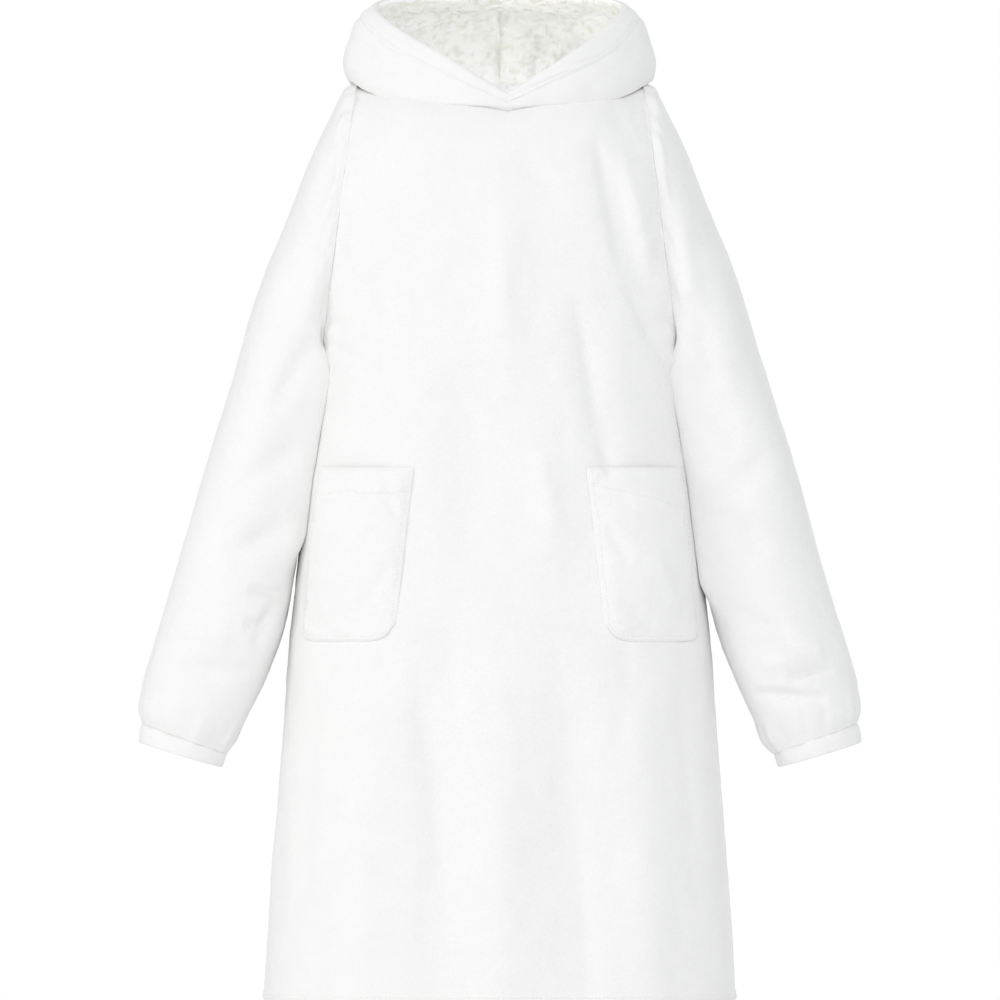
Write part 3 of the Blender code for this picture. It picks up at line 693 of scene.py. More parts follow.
def bodyPanel(name, facing, node, seed):
    cloth = bodyCloth
    half = np.linspace(0, panelColumns, cloth["columns"] + 1)
    column = np.concatenate([-half[::-1], half[1:]])
    # mesh rows: even steps round the armhole, then even heights down to the hem
    heights = np.linspace(underarm[1], rowsBelow[-1], cloth["rows"] - cloth["armholeRows"] + 1)
    seamHeights = np.array((underarm[1], *rowsBelow))
    rowsDown = np.interp(-heights, -seamHeights, np.arange(armholeSteps, lastRow + 1))
    row = np.concatenate([np.linspace(0, armholeSteps, cloth["armholeRows"], endpoint=False), rowsDown])
    points, share = panelGrid(facing, column, row)
    outward = gridDirections(points, (0, facing, 0))
    setPanelSeams(outward, facing, column, row)
    right, left, top, bottom = borderDistances(points)
    edge = np.minimum(right, left)
    lift = fleeceSurface(points, cloth["crumple"], seed)
    lift = lift * rise(edge, cloth["calmEdge"]) * rise(top, cloth["calmEdge"])
    lift = lift * np.clip(bottom / cloth["hemRippleReach"], 0.35, 1)
    # gathers along the armhole, and weaker ones down the side seam
    alongSeam = top[:1] if facing < 0 else top[:1] + cloth["backSeamShift"]
    gather = puckers(alongSeam + 0 * edge, seed + 5)
    armhole = (row < armholeSteps + 1)[None, :]
    lift = lift + ridge(edge, *cloth["pucker"]) * gather * np.where(armhole, 1.0, cloth["sidePucker"])
    lift = lift + ridge(edge, *cloth["seamDip"])
    neckSide = (np.abs(column) < neckSteps)[:, None]
    lift = lift + ridge(top, *cloth["neckLift"]) * neckSide
    # the turned hem: a soft band with its stitching sunk in above it
    aboveHem = bottom - cloth["hemHeight"]
    lift = lift + ridge(aboveHem, *cloth["hemGroove"])
    turned = rise(-aboveHem, cloth["hemStep"]) * rise(bottom, cloth["hemStep"]) ** 0.5
    lift = lift + cloth["hemSwell"] * turned
    level = np.stack([points[..., 0], points[..., 1], 0 * share], axis=-1)
    ripple = softNoise(level, cloth["hemRippleSize"], seed + 9)
    lift = lift + cloth["hemRipple"] * ripple * np.clip(1 - bottom / cloth["hemRippleReach"], 0, 1)
    outer = points + outward * lift[..., None]
    # the two faces of the wall close in on each other at the hem's fold
    wall = cloth["wall"] * np.sqrt(np.clip(bottom / cloth["hemEdge"], 0.02, 1))
    shift = np.where(bottom < cloth["hemEdge"], (cloth["wall"] - wall) / 2, 0)
    outer = outer - outward * shift[..., None]
    inner = points + outward * (np.minimum(lift, 0) - cloth["wall"] + shift)[..., None]
    for skin in (outer, inner):
        skin[0, :, 0] += cloth["sideGap"]
        skin[-1, :, 0] -= cloth["sideGap"]
        skin[[0, -1], :, 1] += facing * cloth["sideSetBack"]
    piece = clothPiece(name, outer, inner, fleece, sherpaInside)
    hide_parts(node)
    hemRow = int(np.argmin(np.abs(aboveHem[len(column) // 2])))
    path = outer[:, hemRow] + outward[:, hemRow] * stitchSize["lift"]
    seam = stitches(name + "HemStitches", path, outward[:, hemRow], thread)
    return piece, seam, (points, outward, column, row)


frontPanel, frontHem, frontGrid = bodyPanel("frontPanel", -1, "front", 11)
backPanel, backHem, _ = bodyPanel("backPanel", 1, "back", 37)
print("body panels made")


# sleeves and cuffs

sleeveCloth = {
    "wall": 0.004,
    "around": 140,
    "along": 170,
    "crumple": 0.0010,
    "creaseDepth": 1.6,
    "creaseMix": 0.012,          # metres over which the front's creases give way to the back's
    "calmTop": 0.025,            # metres from the armhole where creases have their full depth
    "calmCuff": 0.02,
    "seamDip": (-0.0008, 0, 0.006),
    "pucker": (0.0034, 0.010, 0.013),
    "gather": (0.0024, 0.020, 0.020),  # fullness pushed into the cuff
    "cuffLift": (0.0006, 0, 0.006),
    "underSeam": (-0.0012, 0, 0.005),  # the seam down the inner edge
    "gatherSize": 0.26,          # radians round the sleeve
    "seamGap": 0.00015,
    "armholeLength": 0.9,        # metres round the armhole, for the gathers
    "backSeamShift": 0.7,
    "radius": 0.075,             # metres, for distances round the sleeve
    "lap": 0.020,                # how far the front of the sleeve laps over the side of the body
    "lapStart": -0.262,
    "lapEnd": {"left": -0.645, "right": -0.590},
    "lapRuns": (0.085, 0.06),    # metres over which the lap grows and fades
    "lapTurn": 2.52,             # radians round from the outer edge, and how wide the lap is there
    "lapWidth": 0.36,
    "lapBack": 0.7,              # share of the lap at the back
}
sleeveSections = inMetres((
    # outer x and z, inner x and z, depth in front and at the back, lean to the front
    (172, 8, 218, -360, 95, 105, 0),
    (184, 3, 220, -366, 97, 106, 0),
    (203, -32, 220.7, -371, 98, 107, 0),
    (223, -75, 221.5, -377, 98, 106, 1),
    (250, -142, 222.8, -387, 96, 103, 2),
    (275, -205, 224.6, -401, 93, 98, 3),
    (299, -276, 226.9, -419, 89, 93, 4),
    (321, -350, 230.2, -444, 85, 88, 6),
    (343, -420, 234.7, -478, 81, 83, 8),
    (362, -484, 239.8, -522, 78, 79, 11),
    (380, -548, 246, -580, 75, 75, 14),
    (399, -612, 258, -645, 72, 72, 18),
    (416, -668, 280, -706, 68, 68, 22),
    (428.5, -714, 302, -752, 62, 62, 25),
    (431.5, -742, 317, -783, 53, 53, 27),
    (427.5, -758, 326.5, -795, 45, 45, 28),
))
sleeveRound = 0.98
innerFullness = 0.36             # below the armhole, where the sleeve lies against the body
cuffCloth = {
    "wall": 0.004,
    "around": 120,
    "along": 26,
    "crumple": 0.0006,
    "gather": 0.0009,
    "gatherSize": 0.2,           # radians round the cuff
    "gatherReach": 0.008,
    "seamDip": (-0.0007, 0, 0.003),
    "edge": 0.0028,              # metres over which the folded edge is rounded
}
cuffSections = inMetres((
    (427.5, -758, 326.5, -795, 45, 45, 28),
    (431, -767, 328.5, -800, 45.5, 45.5, 28.5),
    (433, -782, 333, -812, 44, 44, 29),
))
# the same, with x away from the middle; front and back, each sleeve its own
sleeveCreases = {
    ("left", "front"): inMetres((
        (300, -722, 392, -728, 6, -5), (342, -705, 398, -694, 6, -4.2),
        (310, -690, 385, -668, 11, 3.5), (300, -662, 380, -672, 7, -3.6),
        (270, -620, 350, -660, 12, -3.5), (255, -500, 320, -560, 14, -3.5),
        (330, -420, 260, -500, 16, -3), (225, -330, 290, -440, 14, -3.5),
        (222, -250, 262, -360, 13, -3), (210, -130, 235, -300, 14, 3),
        (250, -180, 286, -330, 18, 2.5), (300, -330, 350, -520, 18, 2.5),
    )),
    ("right", "front"): inMetres((
        (255, -606, 300, -600, 6, -4.6), (270, -636, 305, -642, 6, -4),
        (268, -612, 292, -668, 7, -3.5), (300, -700, 380, -690, 12, -3.5),
        (320, -660, 395, -640, 13, 3), (250, -520, 325, -560, 14, -3.5),
        (240, -430, 320, -480, 15, -3), (222, -300, 275, -390, 13, -3.5),
        (208, -200, 240, -300, 13, 2.6), (195, -75, 222, -150, 10, -3),
        (260, -200, 300, -350, 18, 2.5),
    )),
    ("left", "back"): inMetres((
        (290, -640, 370, -655, 11, -4.5), (262, -560, 330, -590, 12, -4),
        (300, -700, 400, -690, 11, -4), (240, -440, 310, -500, 15, -3.5),
        (225, -300, 285, -400, 14, -3.5), (250, -200, 300, -380, 18, 3),
        (205, -120, 230, -260, 14, 2.8),
    )),
    ("right", "back"): inMetres((
        (280, -620, 372, -640, 11, -4.5), (258, -540, 332, -575, 12, -4),
        (300, -705, 398, -700, 11, -4), (242, -455, 305, -520, 15, -3.5),
        (224, -320, 285, -380, 14, -3.5), (255, -190, 305, -370, 18, 3),
        (206, -110, 232, -250, 14, 2.8),
    )),
}


def ringGrid(sections, side, around, along):
    # rings of a tube: around turns once from the outer edge by way of the front
    table = smoothThrough(np.arange(len(sections)), sections, along)
    outerX, outerZ, innerX, innerZ, front, back, lean = table.T[:, None, :]
    turn = around[:, None]
    lowest = min(row[1] for row in sections)
    nearArmhole = np.clip((outerZ - lowest) / (shoulderTip[1] - lowest), 0, 1)
    power = sleeveRound + (armholeRound - sleeveRound) * nearArmhole
    swing = np.cos(turn)
    # a sleeve is fuller on its inner side from a little below the armhole
    if sections is sleeveSections:
        down = np.linspace(0, 1, len(along))
        lower = rise(down - 0.05, 0.15) * rise(1 - down, 0.25)
        power = power - innerFullness * lower * np.clip(-swing, 0, 1) ** 0.5
    deep = np.abs(np.sin(turn)) ** power
    facing = np.where(turn < np.pi, -front, back)
    x = (outerX + innerX) / 2 + (outerX - innerX) / 2 * swing
    z = (outerZ + innerZ) / 2 + (outerZ - innerZ) / 2 * swing
    return np.stack([side * x, facing * deep - lean, z + 0 * deep], axis=-1)


def ringNoise(points, around, size, seed):
    # lumps that run the whole length of a tube, so that they read as gathers
    ring = np.stack([np.cos(around), np.sin(around), 0 * around], axis=-1)[:, None]
    return softNoise(ring + 0 * points, size, seed)


def makeSleeve(word, side, seed):
    cloth = sleeveCloth
    around = np.linspace(0, 2 * np.pi, cloth["around"], endpoint=False)
    last = len(sleeveSections) - 1
    along = np.linspace(0, last, cloth["along"])
    points = ringGrid(sleeveSections, side, around, along)
    turn = np.where(around <= np.pi, around, 2 * np.pi - around)
    facing = np.where(around <= np.pi, -1.0, 1.0)
    # from below the armhole to the forearm the sleeve lies against the body and laps over its side
    height = points[..., 2]
    press = rise(cloth["lapStart"] - height, cloth["lapRuns"][0])
    press = press * rise(height - cloth["lapEnd"][word], cloth["lapRuns"][1])
    press = press * press * (3 - 2 * press)
    lap = bell(turn - cloth["lapTurn"], cloth["lapWidth"]) * np.where(facing < 0, 1.0, cloth["lapBack"])
    points[..., 0] -= side * cloth["lap"] * lap[:, None] * press * rise(along, 2)[None, :]
    outward = gridDirections(points, closed=True)
    sideways, forward, up = armholeOut(side, turn)
    mitre = unit(np.stack([sideways, facing * forward, up], axis=-1))
    near = np.clip(1 - along, 0, 1)[None, :, None]
    outward = unit(outward * (1 - near) + mitre[:, None] * near)
    # distance along the sleeve from each end
    _, _, fromArmhole, fromCuff = borderDistances(points)
    towardBack = points[..., 1] / cloth["creaseMix"] + 1.5 * (along / last)[None, :]
    towardFront = 1 / (1 + np.exp(towardBack))
    away = np.abs(points[..., 0])
    lift = creaseHeights(sleeveCreases[(word, "front")], away, points[..., 2]) * towardFront
    lift = lift + creaseHeights(sleeveCreases[(word, "back")], away, points[..., 2]) * (1 - towardFront)
    lift = lift * cloth["creaseDepth"] + fleeceSurface(points, cloth["crumple"], seed)
    lift = lift * rise(fromArmhole, cloth["calmTop"]) * rise(fromCuff, cloth["calmCuff"])
    rim = np.abs(around / (2 * np.pi) - 0.5) * cloth["armholeLength"]
    rim = (rim + (facing > 0) * cloth["backSeamShift"])[:, None]
    lift = lift + ridge(fromArmhole, *cloth["pucker"]) * puckers(rim + 0 * fromArmhole, seed + 3)
    lift = lift + ridge(fromArmhole, *cloth["seamDip"])
    # gathers run down into the cuff
    size = cloth["gatherSize"]
    gathers = ringNoise(points, around, size, seed + 4) + 0.5 * ringNoise(points, around, size / 2, seed + 6)
    lift = lift + ridge(fromCuff, *cloth["gather"]) * gathers + ridge(fromCuff, *cloth["cuffLift"])
    fromSeam = np.abs(around - np.pi)[:, None] * cloth["radius"]
    lift = lift + ridge(fromSeam, *cloth["underSeam"])
    outer = points + outward * lift[..., None]
    inner = points + outward * (np.minimum(lift, 0) - cloth["wall"])[..., None]
    for skin in (outer, inner):
        skin[:, 0, 0] += side * cloth["seamGap"]
    piece = clothPiece("sleeve" + word.title(), outer, inner, fleece, sherpaInside, closed=True)
    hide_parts("sleeve_" + word)
    return piece


def makeCuff(word, side, seed):
    cloth = cuffCloth
    around = np.linspace(0, 2 * np.pi, cloth["around"], endpoint=False)
    along = np.linspace(0, len(cuffSections) - 1, cloth["along"])
    points = ringGrid(cuffSections, side, around, along)
    outward = gridDirections(points, closed=True)
    _, _, top, bottom = borderDistances(points)
    lift = fleeceSurface(points, cloth["crumple"], seed)
    gathers = ringNoise(points, around, cloth["gatherSize"], seed + 4)
    lift = lift + cloth["gather"] * gathers * np.exp(-(top / cloth["gatherReach"]))
    lift = lift + ridge(top, *cloth["seamDip"])
    wall = cloth["wall"] * roundedEdge(bottom, cloth["edge"], 0.05)
    shift = (cloth["wall"] - wall) / 2
    outer = points + outward * (lift - shift)[..., None]
    inner = points - outward * (cloth["wall"] - shift)[..., None]
    piece = clothPiece("cuff" + word.title(), outer, inner, fleece, sherpaInside, closed=True)
    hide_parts("cuff_" + word)
    return piece


sleeveLeft = makeSleeve("left", 1, 51)
sleeveRight = makeSleeve("right", -1, 73)
cuffLeft = makeCuff("left", 1, 91)
cuffRight = makeCuff("right", -1, 97)
print("sleeves and cuffs made")


# hood

hoodCloth = {
    "wall": 0.003,
    "liningWall": 0.0036,
    "gap": 0.0003,
    "around": 130,
    "rows": 90,
    "liningAround": 200,         # finer, for the curls
    "liningRows": 150,
    "levelAngle": 0.55,          # radians from the front where the cloth faces level
    "levelShare": 0.09,          # and share of the hood beside the neck seam
    "crumple": 0.0013,
    "roll": 0.0022,              # the thick double cloth lies in soft rolls over the shoulders
    "rollSize": (0.05, 0.05, 0.024),
    "calmEdge": 0.02,
    "calmBand": 0.015,
    "gather": (0.0012, 0.009, 0.010),  # along the neck seam
    "neckLift": (0.0020, 0, 0.007),
    "backSeam": (-0.0016, 0, 0.006),
    "frontSeam": (-0.0001, 0, 0.005),
    "bandSeam": (-0.0008, 0, 0.004),
    "middleGap": 0.00003,        # kept open at the seams, so that no piece touches the next
    "neckGap": 0.00015,
    "liningGap": 0.00015,
    "bandGap": 0.0002,
    "rollOver": (0.0005, 0.0007),  # out and down, where the cloth rolls over the neck seam
    "curl": 0.0042,              # metres, how far the sherpa's curls stand up
    "leastPile": 0.0012,
    "slack": 0.0045,             # large soft crumples where the lining is slack
    "slackSize": (0.05, 0.035, 0.05),
    "seamHideSize": 0.024,       # metres, stretches where curls hide the lining's seam
    "liningSeams": (0.0045, 0.005),  # widths of the lining's grooves at the back and in front
}
bandCloth = {
    "thick": 0.0082,
    "proud": 0.001,              # how far it stands out from the hood's cloth
    "around": 240,
    "rows": 34,
    "crumple": 0.0009,
    "rimRound": 0.006,
    "seamRound": 0.003,
    "gather": (0.0010, 0.006, 0.008),
    "stitchGroove": (-0.0009, 0.005, 0.0022),
    "rimPile": 0.004,
}
sherpaForm = {
    "bendSize": 0.011,           # metres, the bends in the curls and how far they bend
    "bend": 0.005,
    "curlSize": 0.0075,
    "clumpSize": 0.016,
    "fineSize": 0.0038,
    "shares": (0.55, 0.3, 0.25),  # of curls, clumps and fine curls
}
hoodSections = inMetres((
    # half width, front, back, then heights at 0, 45, 90, 135 and 180 degrees
    (130, 98, 85, -30, -8.5, 9.5, 4, -1),
    (150, 100.5, 112, -27.5, -12.5, 9.8, 9, 7),
    (172, 103, 142, -25.2, -16.5, 8.6, -10, -45),
    (182, 105, 182, -23.2, -14.8, 12, -40, -130),
    (187.5, 106, 228, -21.5, 1, 34, -35, -115),
    (182, 106.5, 250, -20, 19.5, 59, 5, -45),
    (175, 107, 252, -18.8, 33, 78, 55, 30),
    (163, 106, 225, -17.6, 46, 94, 95, 88),
    (149, 104, 175, -7, 59, 103, 120, 127),
))
bandStarts = (6.25, 6.35, 6.6, 7.35, 7.6)  # the row above where the band begins, at those angles


def hoodPoints(side, around, share, part):
    # around runs from 0 at the front to pi at the back; share from 0 to 1 over the
    # hood from the neck to the band's seam, or over the band from its seam to the rim
    last = len(hoodSections) - 1
    sections = np.array(hoodSections)
    starts = smoothThrough(np.radians(neckAngles), bandStarts, around)
    heights = smoothThrough(np.radians(neckAngles), sections[:, 3:].T, around)
    columns = []
    for turn, start, height in zip(around, starts, heights):
        at = share * start if part == "hood" else start + share * (last - start)
        reach = sections[:, 1] if turn < np.pi / 2 else sections[:, 2]
        x = side * sections[:, 0] * math.sin(turn) + neckLean(turn)
        profile = np.stack([x, neckSideY - reach * math.cos(turn), height], axis=-1)
        columns.append(smoothThrough(np.arange(last + 1), profile, at))
    return np.array(columns)


def hoodOut(points, side, around, share=None):
    outward = unit(np.cross(np.gradient(points, axis=0), np.gradient(points, axis=1))) * side
    outward[[0, -1], :, 0] = 0
    level = np.stack([side * np.sin(around), -np.cos(around), 0 * around], axis=-1)
    front = np.exp(-((around / hoodCloth["levelAngle"]) ** 4))[:, None, None]
    outward = unit(outward * (1 - front) + level[:, None] * front)
    if share is None:
        return outward
    near = np.clip(1 - share / hoodCloth["levelShare"], 0, 1)[None, :, None]
    return unit(outward * (1 - near) + level[:, None] * near)


def sherpaCurls(points, seed):
    # height of the curls, from 0 between them to 1 on their tips
    form = sherpaForm
    warp = [softNoise(points, form["bendSize"], seed + k) for k in range(3)]
    warp = np.stack(warp, axis=-1) * form["bend"]
    curl = np.clip(1 - np.abs(softNoise(points + warp, form["curlSize"], seed + 7)) * 1.7, 0, 1)
    clump = softNoise(points + warp, form["clumpSize"], seed + 11) * 0.5 + 0.5
    fine = softNoise(points + warp * 0.5, form["fineSize"], seed + 13) * 0.5 + 0.5
    parts = zip(form["shares"], (curl, clump, fine))
    return np.clip(sum(share * part for share, part in parts), 0, 1)


def makeHoodHalf(word, side, seed):
    cloth = hoodCloth
    around = np.linspace(0, np.pi, cloth["around"])
    share = np.linspace(0, 1, cloth["rows"])
    points = hoodPoints(side, around, share, "hood")
    outward = hoodOut(points, side, around, share)
    front, back, neck, band = borderDistances(points)
    lift = fleeceSurface(points, cloth["crumple"], seed)
    lift = lift + softNoise(points, cloth["rollSize"], seed + 21) * cloth["roll"]
    lift = lift * rise(neck, cloth["calmEdge"]) * rise(np.minimum(front, back), cloth["calmEdge"])
    lift = lift * np.clip(band / cloth["calmBand"], 0.2, 1)
    lift = lift + ridge(neck, *cloth["gather"]) * puckers(front, seed + 5, 0.018)
    for away, seam in ((neck, "neckLift"), (back, "backSeam"), (front, "frontSeam"), (band, "bandSeam")):
        lift = lift + ridge(away, *cloth[seam])
    outer = points + outward * lift[..., None]
    inner = points - outward * cloth["wall"]
    for skin in (outer, inner):
        skin[[0, -1], :, 0] += side * cloth["middleGap"]
        skin[:, 0, 2] += cloth["neckGap"]
    rollOut, rollDown = cloth["rollOver"]
    outer[:, 0] += outward[:, 0] * rollOut
    outer[:, 0, 2] -= rollDown
    piece = clothPiece("hood" + word.title(), outer, inner, fleece, fleece)
    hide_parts("hood_" + word)
    # the sherpa lining lies against it, curls into the hollow
    around = np.linspace(0, np.pi, cloth["liningAround"])
    share = np.linspace(0, 1, cloth["liningRows"])
    points = hoodPoints(side, around, share, "hood")
    outward = hoodOut(points, side, around, share)
    front, back, _, band = borderDistances(points)
    under = cloth["wall"] + cloth["gap"]
    backing = points - outward * under
    curls = sherpaCurls(points, seed + 30)
    slack = cloth["slack"] * np.clip(softNoise(points, cloth["slackSize"], seed + 44), -0.6, 1)
    thick = cloth["liningWall"] * 0.7 + cloth["curl"] * curls + slack * rise(band, cloth["calmEdge"])
    # the seam at the back sinks in unevenly between the curls, the one in front evenly
    hidden = 0.5 + 0.7 * softNoise(points, cloth["seamHideSize"], seed + 51)
    backWidth, frontWidth = cloth["liningSeams"]
    groove = (1 - np.clip(hidden, 0, 0.95)) * bell(back, backWidth) + 0.5 * bell(front, frontWidth)
    groove = np.clip(groove, 0, 1)
    thick = np.maximum(thick * (1 - 0.6 * groove), cloth["leastPile"])
    pile = points - outward * (under + thick)[..., None]
    for skin in (backing, pile):
        skin[[0, -1], :, 0] += side * cloth["liningGap"]
        skin[:, -1] -= unit(points[:, -1] - points[:, -2]) * cloth["bandGap"]
    name = "hoodLining" + word.title()
    # the pile's depth sinks at the seam's groove too, so the painted shade between the curls darkens the
    # groove
    lining = clothPiece(name, pile, backing, sherpa, sherpa, depth=curls * (1 - 0.7 * groove))
    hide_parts("hood_lining_" + word)
    return piece, lining


def makeHoodBand(seed):
    # a strip of the outer cloth sewn over the hood's edge, with the sherpa up to the rim inside
    cloth = bandCloth
    around = np.linspace(0, np.pi, cloth["around"])
    share = np.linspace(0, 1, cloth["rows"])
    right, left = (hoodPoints(side, around, share, "band") for side in (-1, 1))
    points = np.concatenate([right[:-1], left[::-1]])
    right, left = hoodOut(right, -1, around), hoodOut(left, 1, around)
    outward = np.concatenate([right[:-1], left[::-1]])
    first, last, seam, rim = borderDistances(points)
    thick = cloth["thick"] * roundedEdge(rim, cloth["rimRound"])
    middle = points + outward * (cloth["proud"] - cloth["thick"] / 2)
    lift = fleeceSurface(points, cloth["crumple"], seed)
    lift = lift + ridge(seam, *cloth["gather"]) * puckers(first, seed + 3, 0.02)
    lift = lift * rise(np.minimum(first, last), 0.01)
    # the line of stitching sits close above the band's seam
    lift = lift + ridge(seam, *cloth["stitchGroove"])
    half = thick / 2 * (0.6 + 0.4 * rise(seam, cloth["seamRound"]))
    outer = middle + outward * (half + lift)[..., None]
    curls = sherpaCurls(points, seed + 30)
    pile = hoodCloth["curl"] * (curls - 0.45) * rise(rim, cloth["rimPile"]) ** 0.5
    inner = middle - outward * (thick / 2 + pile)[..., None]
    # the curls' height sets the painted shade between them
    band = clothPiece("hoodBand", outer, inner, fleece, sherpa, depth=curls)
    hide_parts("hood_band")
    row = int(np.argmin(np.abs(seam[len(seam) // 4] - cloth["stitchGroove"][1])))
    path = outer[:, row] + outward[:, row] * stitchSize["lift"]
    return band, stitches("hoodBandStitches", path, outward[:, row], thread)


hoodLeft, liningLeft = makeHoodHalf("left", 1, 131)
hoodRight, liningRight = makeHoodHalf("right", -1, 151)
hoodBand, bandSewn = makeHoodBand(171)
print("hood made")


# pockets

pocketCloth = {
    "wall": 0.004,
    "lift": 0.0004,              # metres off the panel
    "bulge": 0.013,
    "mouthShare": 0.22,          # share of the bulge at the mouth
    "crumple": 0.0011,
    "calmEdge": 0.015,
    "hemSwell": 0.0012,
    "hemStep": 0.003,
    "hemGroove": (-0.0012, 0, 0.0025),
    "sewnGroove": (-0.0006, 0.006, 0.0028),
    "gather": (0.0010, 0.012, 0.008),
    "softSide": 0.020,           # metres over which the cloth thins toward its sewn sides
    "softBottom": 0.005,
    "softMouth": 0.010,
    # the body's seam columns that the pocket runs over, and its rows there
    "innerColumn": (3.92, 4.02, 4.04, 4.14, 4.26, 4.38, 4.46),
    "columns": (5, 6, 7, 8, 9, 9.62),
    "firstRow": armholeSteps + 2,
    "rows": (0, 0.93, 1.05, 2, 3, 4, 5),
    "cornerLift": (0.55, 0.12, 0, 0, 0, 0.02, 0.22),
    "across": 80,
    "down": 100,
    # depth of the turned hem from the pocket's inner side to its outer side
    "hemDepth": {
        "left": (0.020, 0.029, 0.038, 0.049, 0.044),
        "right": (0.028, 0.031, 0.030, 0.033, 0.031),
    },
}
# creases on the pocket's own share across and down
pocketCreases = {
    "left": (
        (0.05, 0.20, 0.35, 0.24, 0.035, -0.0030),
        (0.10, 0.35, 0.30, 0.55, 0.045, -0.0030),
        (0.30, 0.18, 0.75, 0.26, 0.040, 0.0030),
        (0.80, 0.30, 0.96, 0.45, 0.045, -0.0040),
        (0.45, 0.50, 0.70, 0.85, 0.060, 0.0025),
        (0.20, 0.75, 0.45, 0.92, 0.050, -0.0020),
    ),
    "right": (
        (0.08, 0.30, 0.24, 0.16, 0.040, -0.0035),
        (0.30, 0.16, 0.95, 0.22, 0.035, 0.0030),
        (0.25, 0.30, 0.75, 0.62, 0.060, 0.0022),
        (0.10, 0.55, 0.35, 0.80, 0.050, -0.0022),
        (0.60, 0.70, 0.90, 0.90, 0.050, -0.0020),
    ),
}


def makePocket(word, side, seed):
    cloth = pocketCloth
    share = np.linspace(0, 1, cloth["across"])
    down = np.linspace(0, 1, cloth["down"])
    depth = down * cloth["rows"][-1]
    innerColumn = smoothThrough(cloth["rows"], cloth["innerColumn"], depth)
    knots = np.arange(len(cloth["columns"]) + 1)
    columnKnots = np.stack([innerColumn, *[0 * innerColumn + c for c in cloth["columns"]]])
    column = smoothThrough(knots, columnKnots, share * knots[-1])
    corner = smoothThrough(knots, cloth["cornerLift"], share * knots[-1])[:, None]
    row = depth[None, :] - corner * np.clip(depth - 4, 0, 1)[None, :]
    # the body panel's own surface under the pocket
    points, outward, bodyColumns, bodyRows = frontGrid
    at = np.interp(side * column, bodyColumns, np.arange(len(bodyColumns)))
    atRow = np.interp(cloth["firstRow"] + row, bodyRows, np.arange(len(bodyRows)))
    base = onGrid(points, at, atRow)
    square = unit(onGrid(outward, at, atRow))
    across, below = np.broadcast_arrays(share[:, None], down[None, :])
    openShare = cloth["mouthShare"] + (1 - cloth["mouthShare"]) * np.sin(np.pi * below)
    bulge = cloth["bulge"] * np.sin(np.pi * across) ** 1.1 * openShare * (1 - below**3)
    inner = base + square * (cloth["lift"] + bulge)[..., None]
    first, last, top, bottom = borderDistances(inner)
    sides = np.minimum(first, last)
    edge = np.minimum(sides, bottom)
    lift = creaseHeights(pocketCreases[word], across, below)
    lift = lift + fleeceSurface(base, cloth["crumple"], seed)
    lift = lift * rise(edge, cloth["calmEdge"])
    # a turned top hem with a line of stitching, and a topstitched edge
    hem = smoothThrough(np.linspace(0, 1, 5), cloth["hemDepth"][word], share)[:, None]
    lift = lift + cloth["hemSwell"] * (1 - rise(top - hem, cloth["hemStep"]))
    lift = lift + ridge(top - hem, *cloth["hemGroove"]) + ridge(edge, *cloth["sewnGroove"])
    lift = lift + ridge(edge, *cloth["gather"]) * puckers(first + top + last * 0.3, seed + 3, 0.014)
    # the sides are flattened into the body's pile, the mouth and the bottom are rounded
    ends = np.minimum(bottom / cloth["softBottom"], top / cloth["softMouth"])
    roundEdge = roundedEdge(np.minimum(sides / cloth["softSide"], ends), 1, 0.06)
    outer = inner + square * ((cloth["wall"] + lift) * roundEdge)[..., None]
    name = "pocket" + word.title()
    piece = clothPiece(name, outer, inner, fleece, sherpaInside)
    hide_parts("pocket_" + word)
    # stitching down one side, along the bottom and up the other
    inset = cloth["sewnGroove"][1]
    columnsIn, columnsOut = (np.argmin(np.abs(away - inset), axis=0) for away in (first, last))
    rowIn = int(np.argmin(np.abs(bottom[len(share) // 2] - inset)))
    path = [(columnsIn[r], r) for r in range(2, rowIn)]
    path += [(c, rowIn) for c in range(columnsIn[rowIn], columnsOut[rowIn])]
    path += [(columnsOut[r], r) for r in range(rowIn - 1, 1, -1)]
    hemRows = np.argmin(np.abs(top - hem), axis=1)
    hemPath = [(c, hemRows[c]) for c in range(3, len(share) - 3)]
    sewn = []
    for ending, line in (("Stitches", path), ("HemStitches", hemPath)):
        at = tuple(np.array(line).T)
        sewn.append(stitches(name + ending, outer[at] + square[at] * stitchSize["lift"], square[at], thread))
    return piece, sewn


pocketLeft, pocketLeftSewn = makePocket("left", 1, 211)
pocketRight, pocketRightSewn = makePocket("right", -1, 231)
print("pockets made")

# studio

studio = {
    "cameraDistance": 12.0,
    "lens": 360.0,
    "middle": (0.0, -0.492),     # x and z at the centre of the photograph
    "floorHeight": -1.30,
    "backdrop": "FFFFFF",        # what the camera sees behind the garment
    "room": "DDDEDF",            # the dimmer room that lights it
    "floorRadius": 2.5,
    "floorSides": 96,
    "floorColour": "FCFCFC",
    "floorRoughness": 0.9,
}

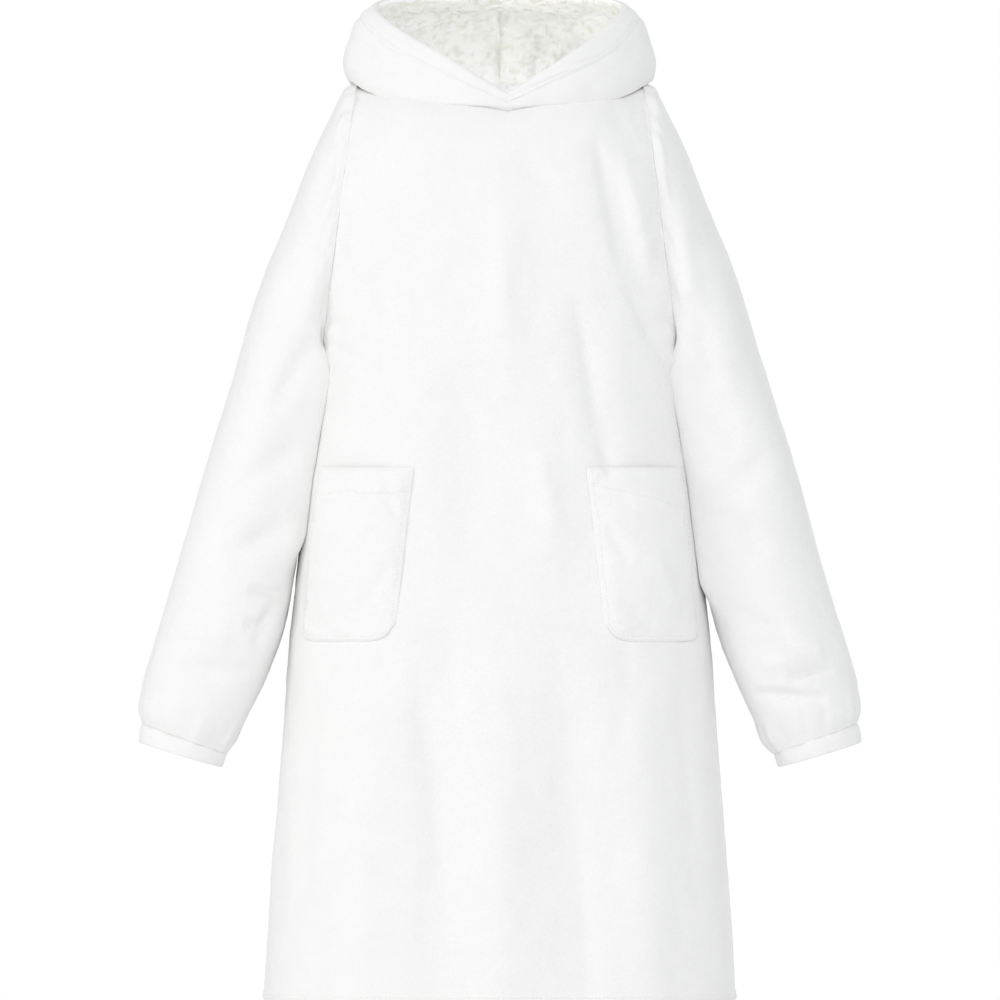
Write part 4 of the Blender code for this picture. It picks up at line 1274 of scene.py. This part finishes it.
cameraData = bpy.data.cameras.new("photoCamera")
cameraData.lens = studio["lens"]
cameraData.sensor_width = 36
cameraData.clip_end = 100
camera = bpy.data.objects.new("photoCamera", cameraData)
camera.location = (studio["middle"][0], -studio["cameraDistance"], studio["middle"][1])
camera.rotation_euler = (math.pi / 2, 0, 0)
bpy.context.scene.collection.objects.link(camera)
bpy.context.scene.camera = camera

# matt white paper, which gives a soft even bounce of light from below
paper, paperTree, _ = newMaterial("matteWhitePaper")
setShader(paperTree, {}, {
    "Base Color": hexColour(studio["floorColour"]),
    "Roughness": studio["floorRoughness"],
})
sides, radius = studio["floorSides"], studio["floorRadius"]
floorRim = [2 * math.pi * k / sides for k in range(sides)]
floorMesh = bpy.data.meshes.new("paperFloor")
floorMesh.from_pydata([(radius * math.cos(a), radius * math.sin(a), 0) for a in floorRim], [],
                      [tuple(range(sides))])
floorMesh.materials.append(paper)
floor = bpy.data.objects.new("paperFloor", floorMesh)
floor.location = (0, 0, studio["floorHeight"])
bpy.context.scene.collection.objects.link(floor)

world = bpy.data.worlds.new("studioLight")
world.use_nodes = True
sky = world.node_tree
seen = addNode(sky, "ShaderNodeLightPath").outputs["Is Camera Ray"]
skyColour = blendColours(sky, seen, studio["room"], studio["backdrop"])
sky.links.new(skyColour, sky.nodes["Background"].inputs["Color"])
bpy.context.scene.world = world

softBoxes = (
    # name, place, what it looks at, width, watts, colour
    ("keyBox", (-4.3, -2.4, 0.9), (0, 0, -0.5), 1.8, 42, "FFFDFB"),
    ("frontBox", (0.2, -5.4, 2.0), (0, 0, -0.5), 2.5, 85, "FFFFFF"),
    ("backBox", (2.6, 5.4, 1.0), (0, 0, -0.5), 2.2, 70, "FFFFFF"),
)
for name, place, target, width, watts, colour in softBoxes:
    lampData = bpy.data.lights.new(name, "AREA")
    lampData.shape = "SQUARE"
    lampData.size = width
    lampData.energy = watts
    lampData.color = hexColour(colour)[:3]
    lamp = bpy.data.objects.new(name, lampData)
    lamp.location = place
    toward = np.array(target, float) - np.array(place, float)
    tilt = math.atan2(math.hypot(toward[0], toward[1]), -toward[2])
    lamp.rotation_euler = (tilt, 0, math.atan2(toward[0], -toward[1]) + math.pi)
    bpy.context.scene.collection.objects.link(lamp)

bpy.context.scene.view_settings.view_transform = "Standard"
print("studio made")
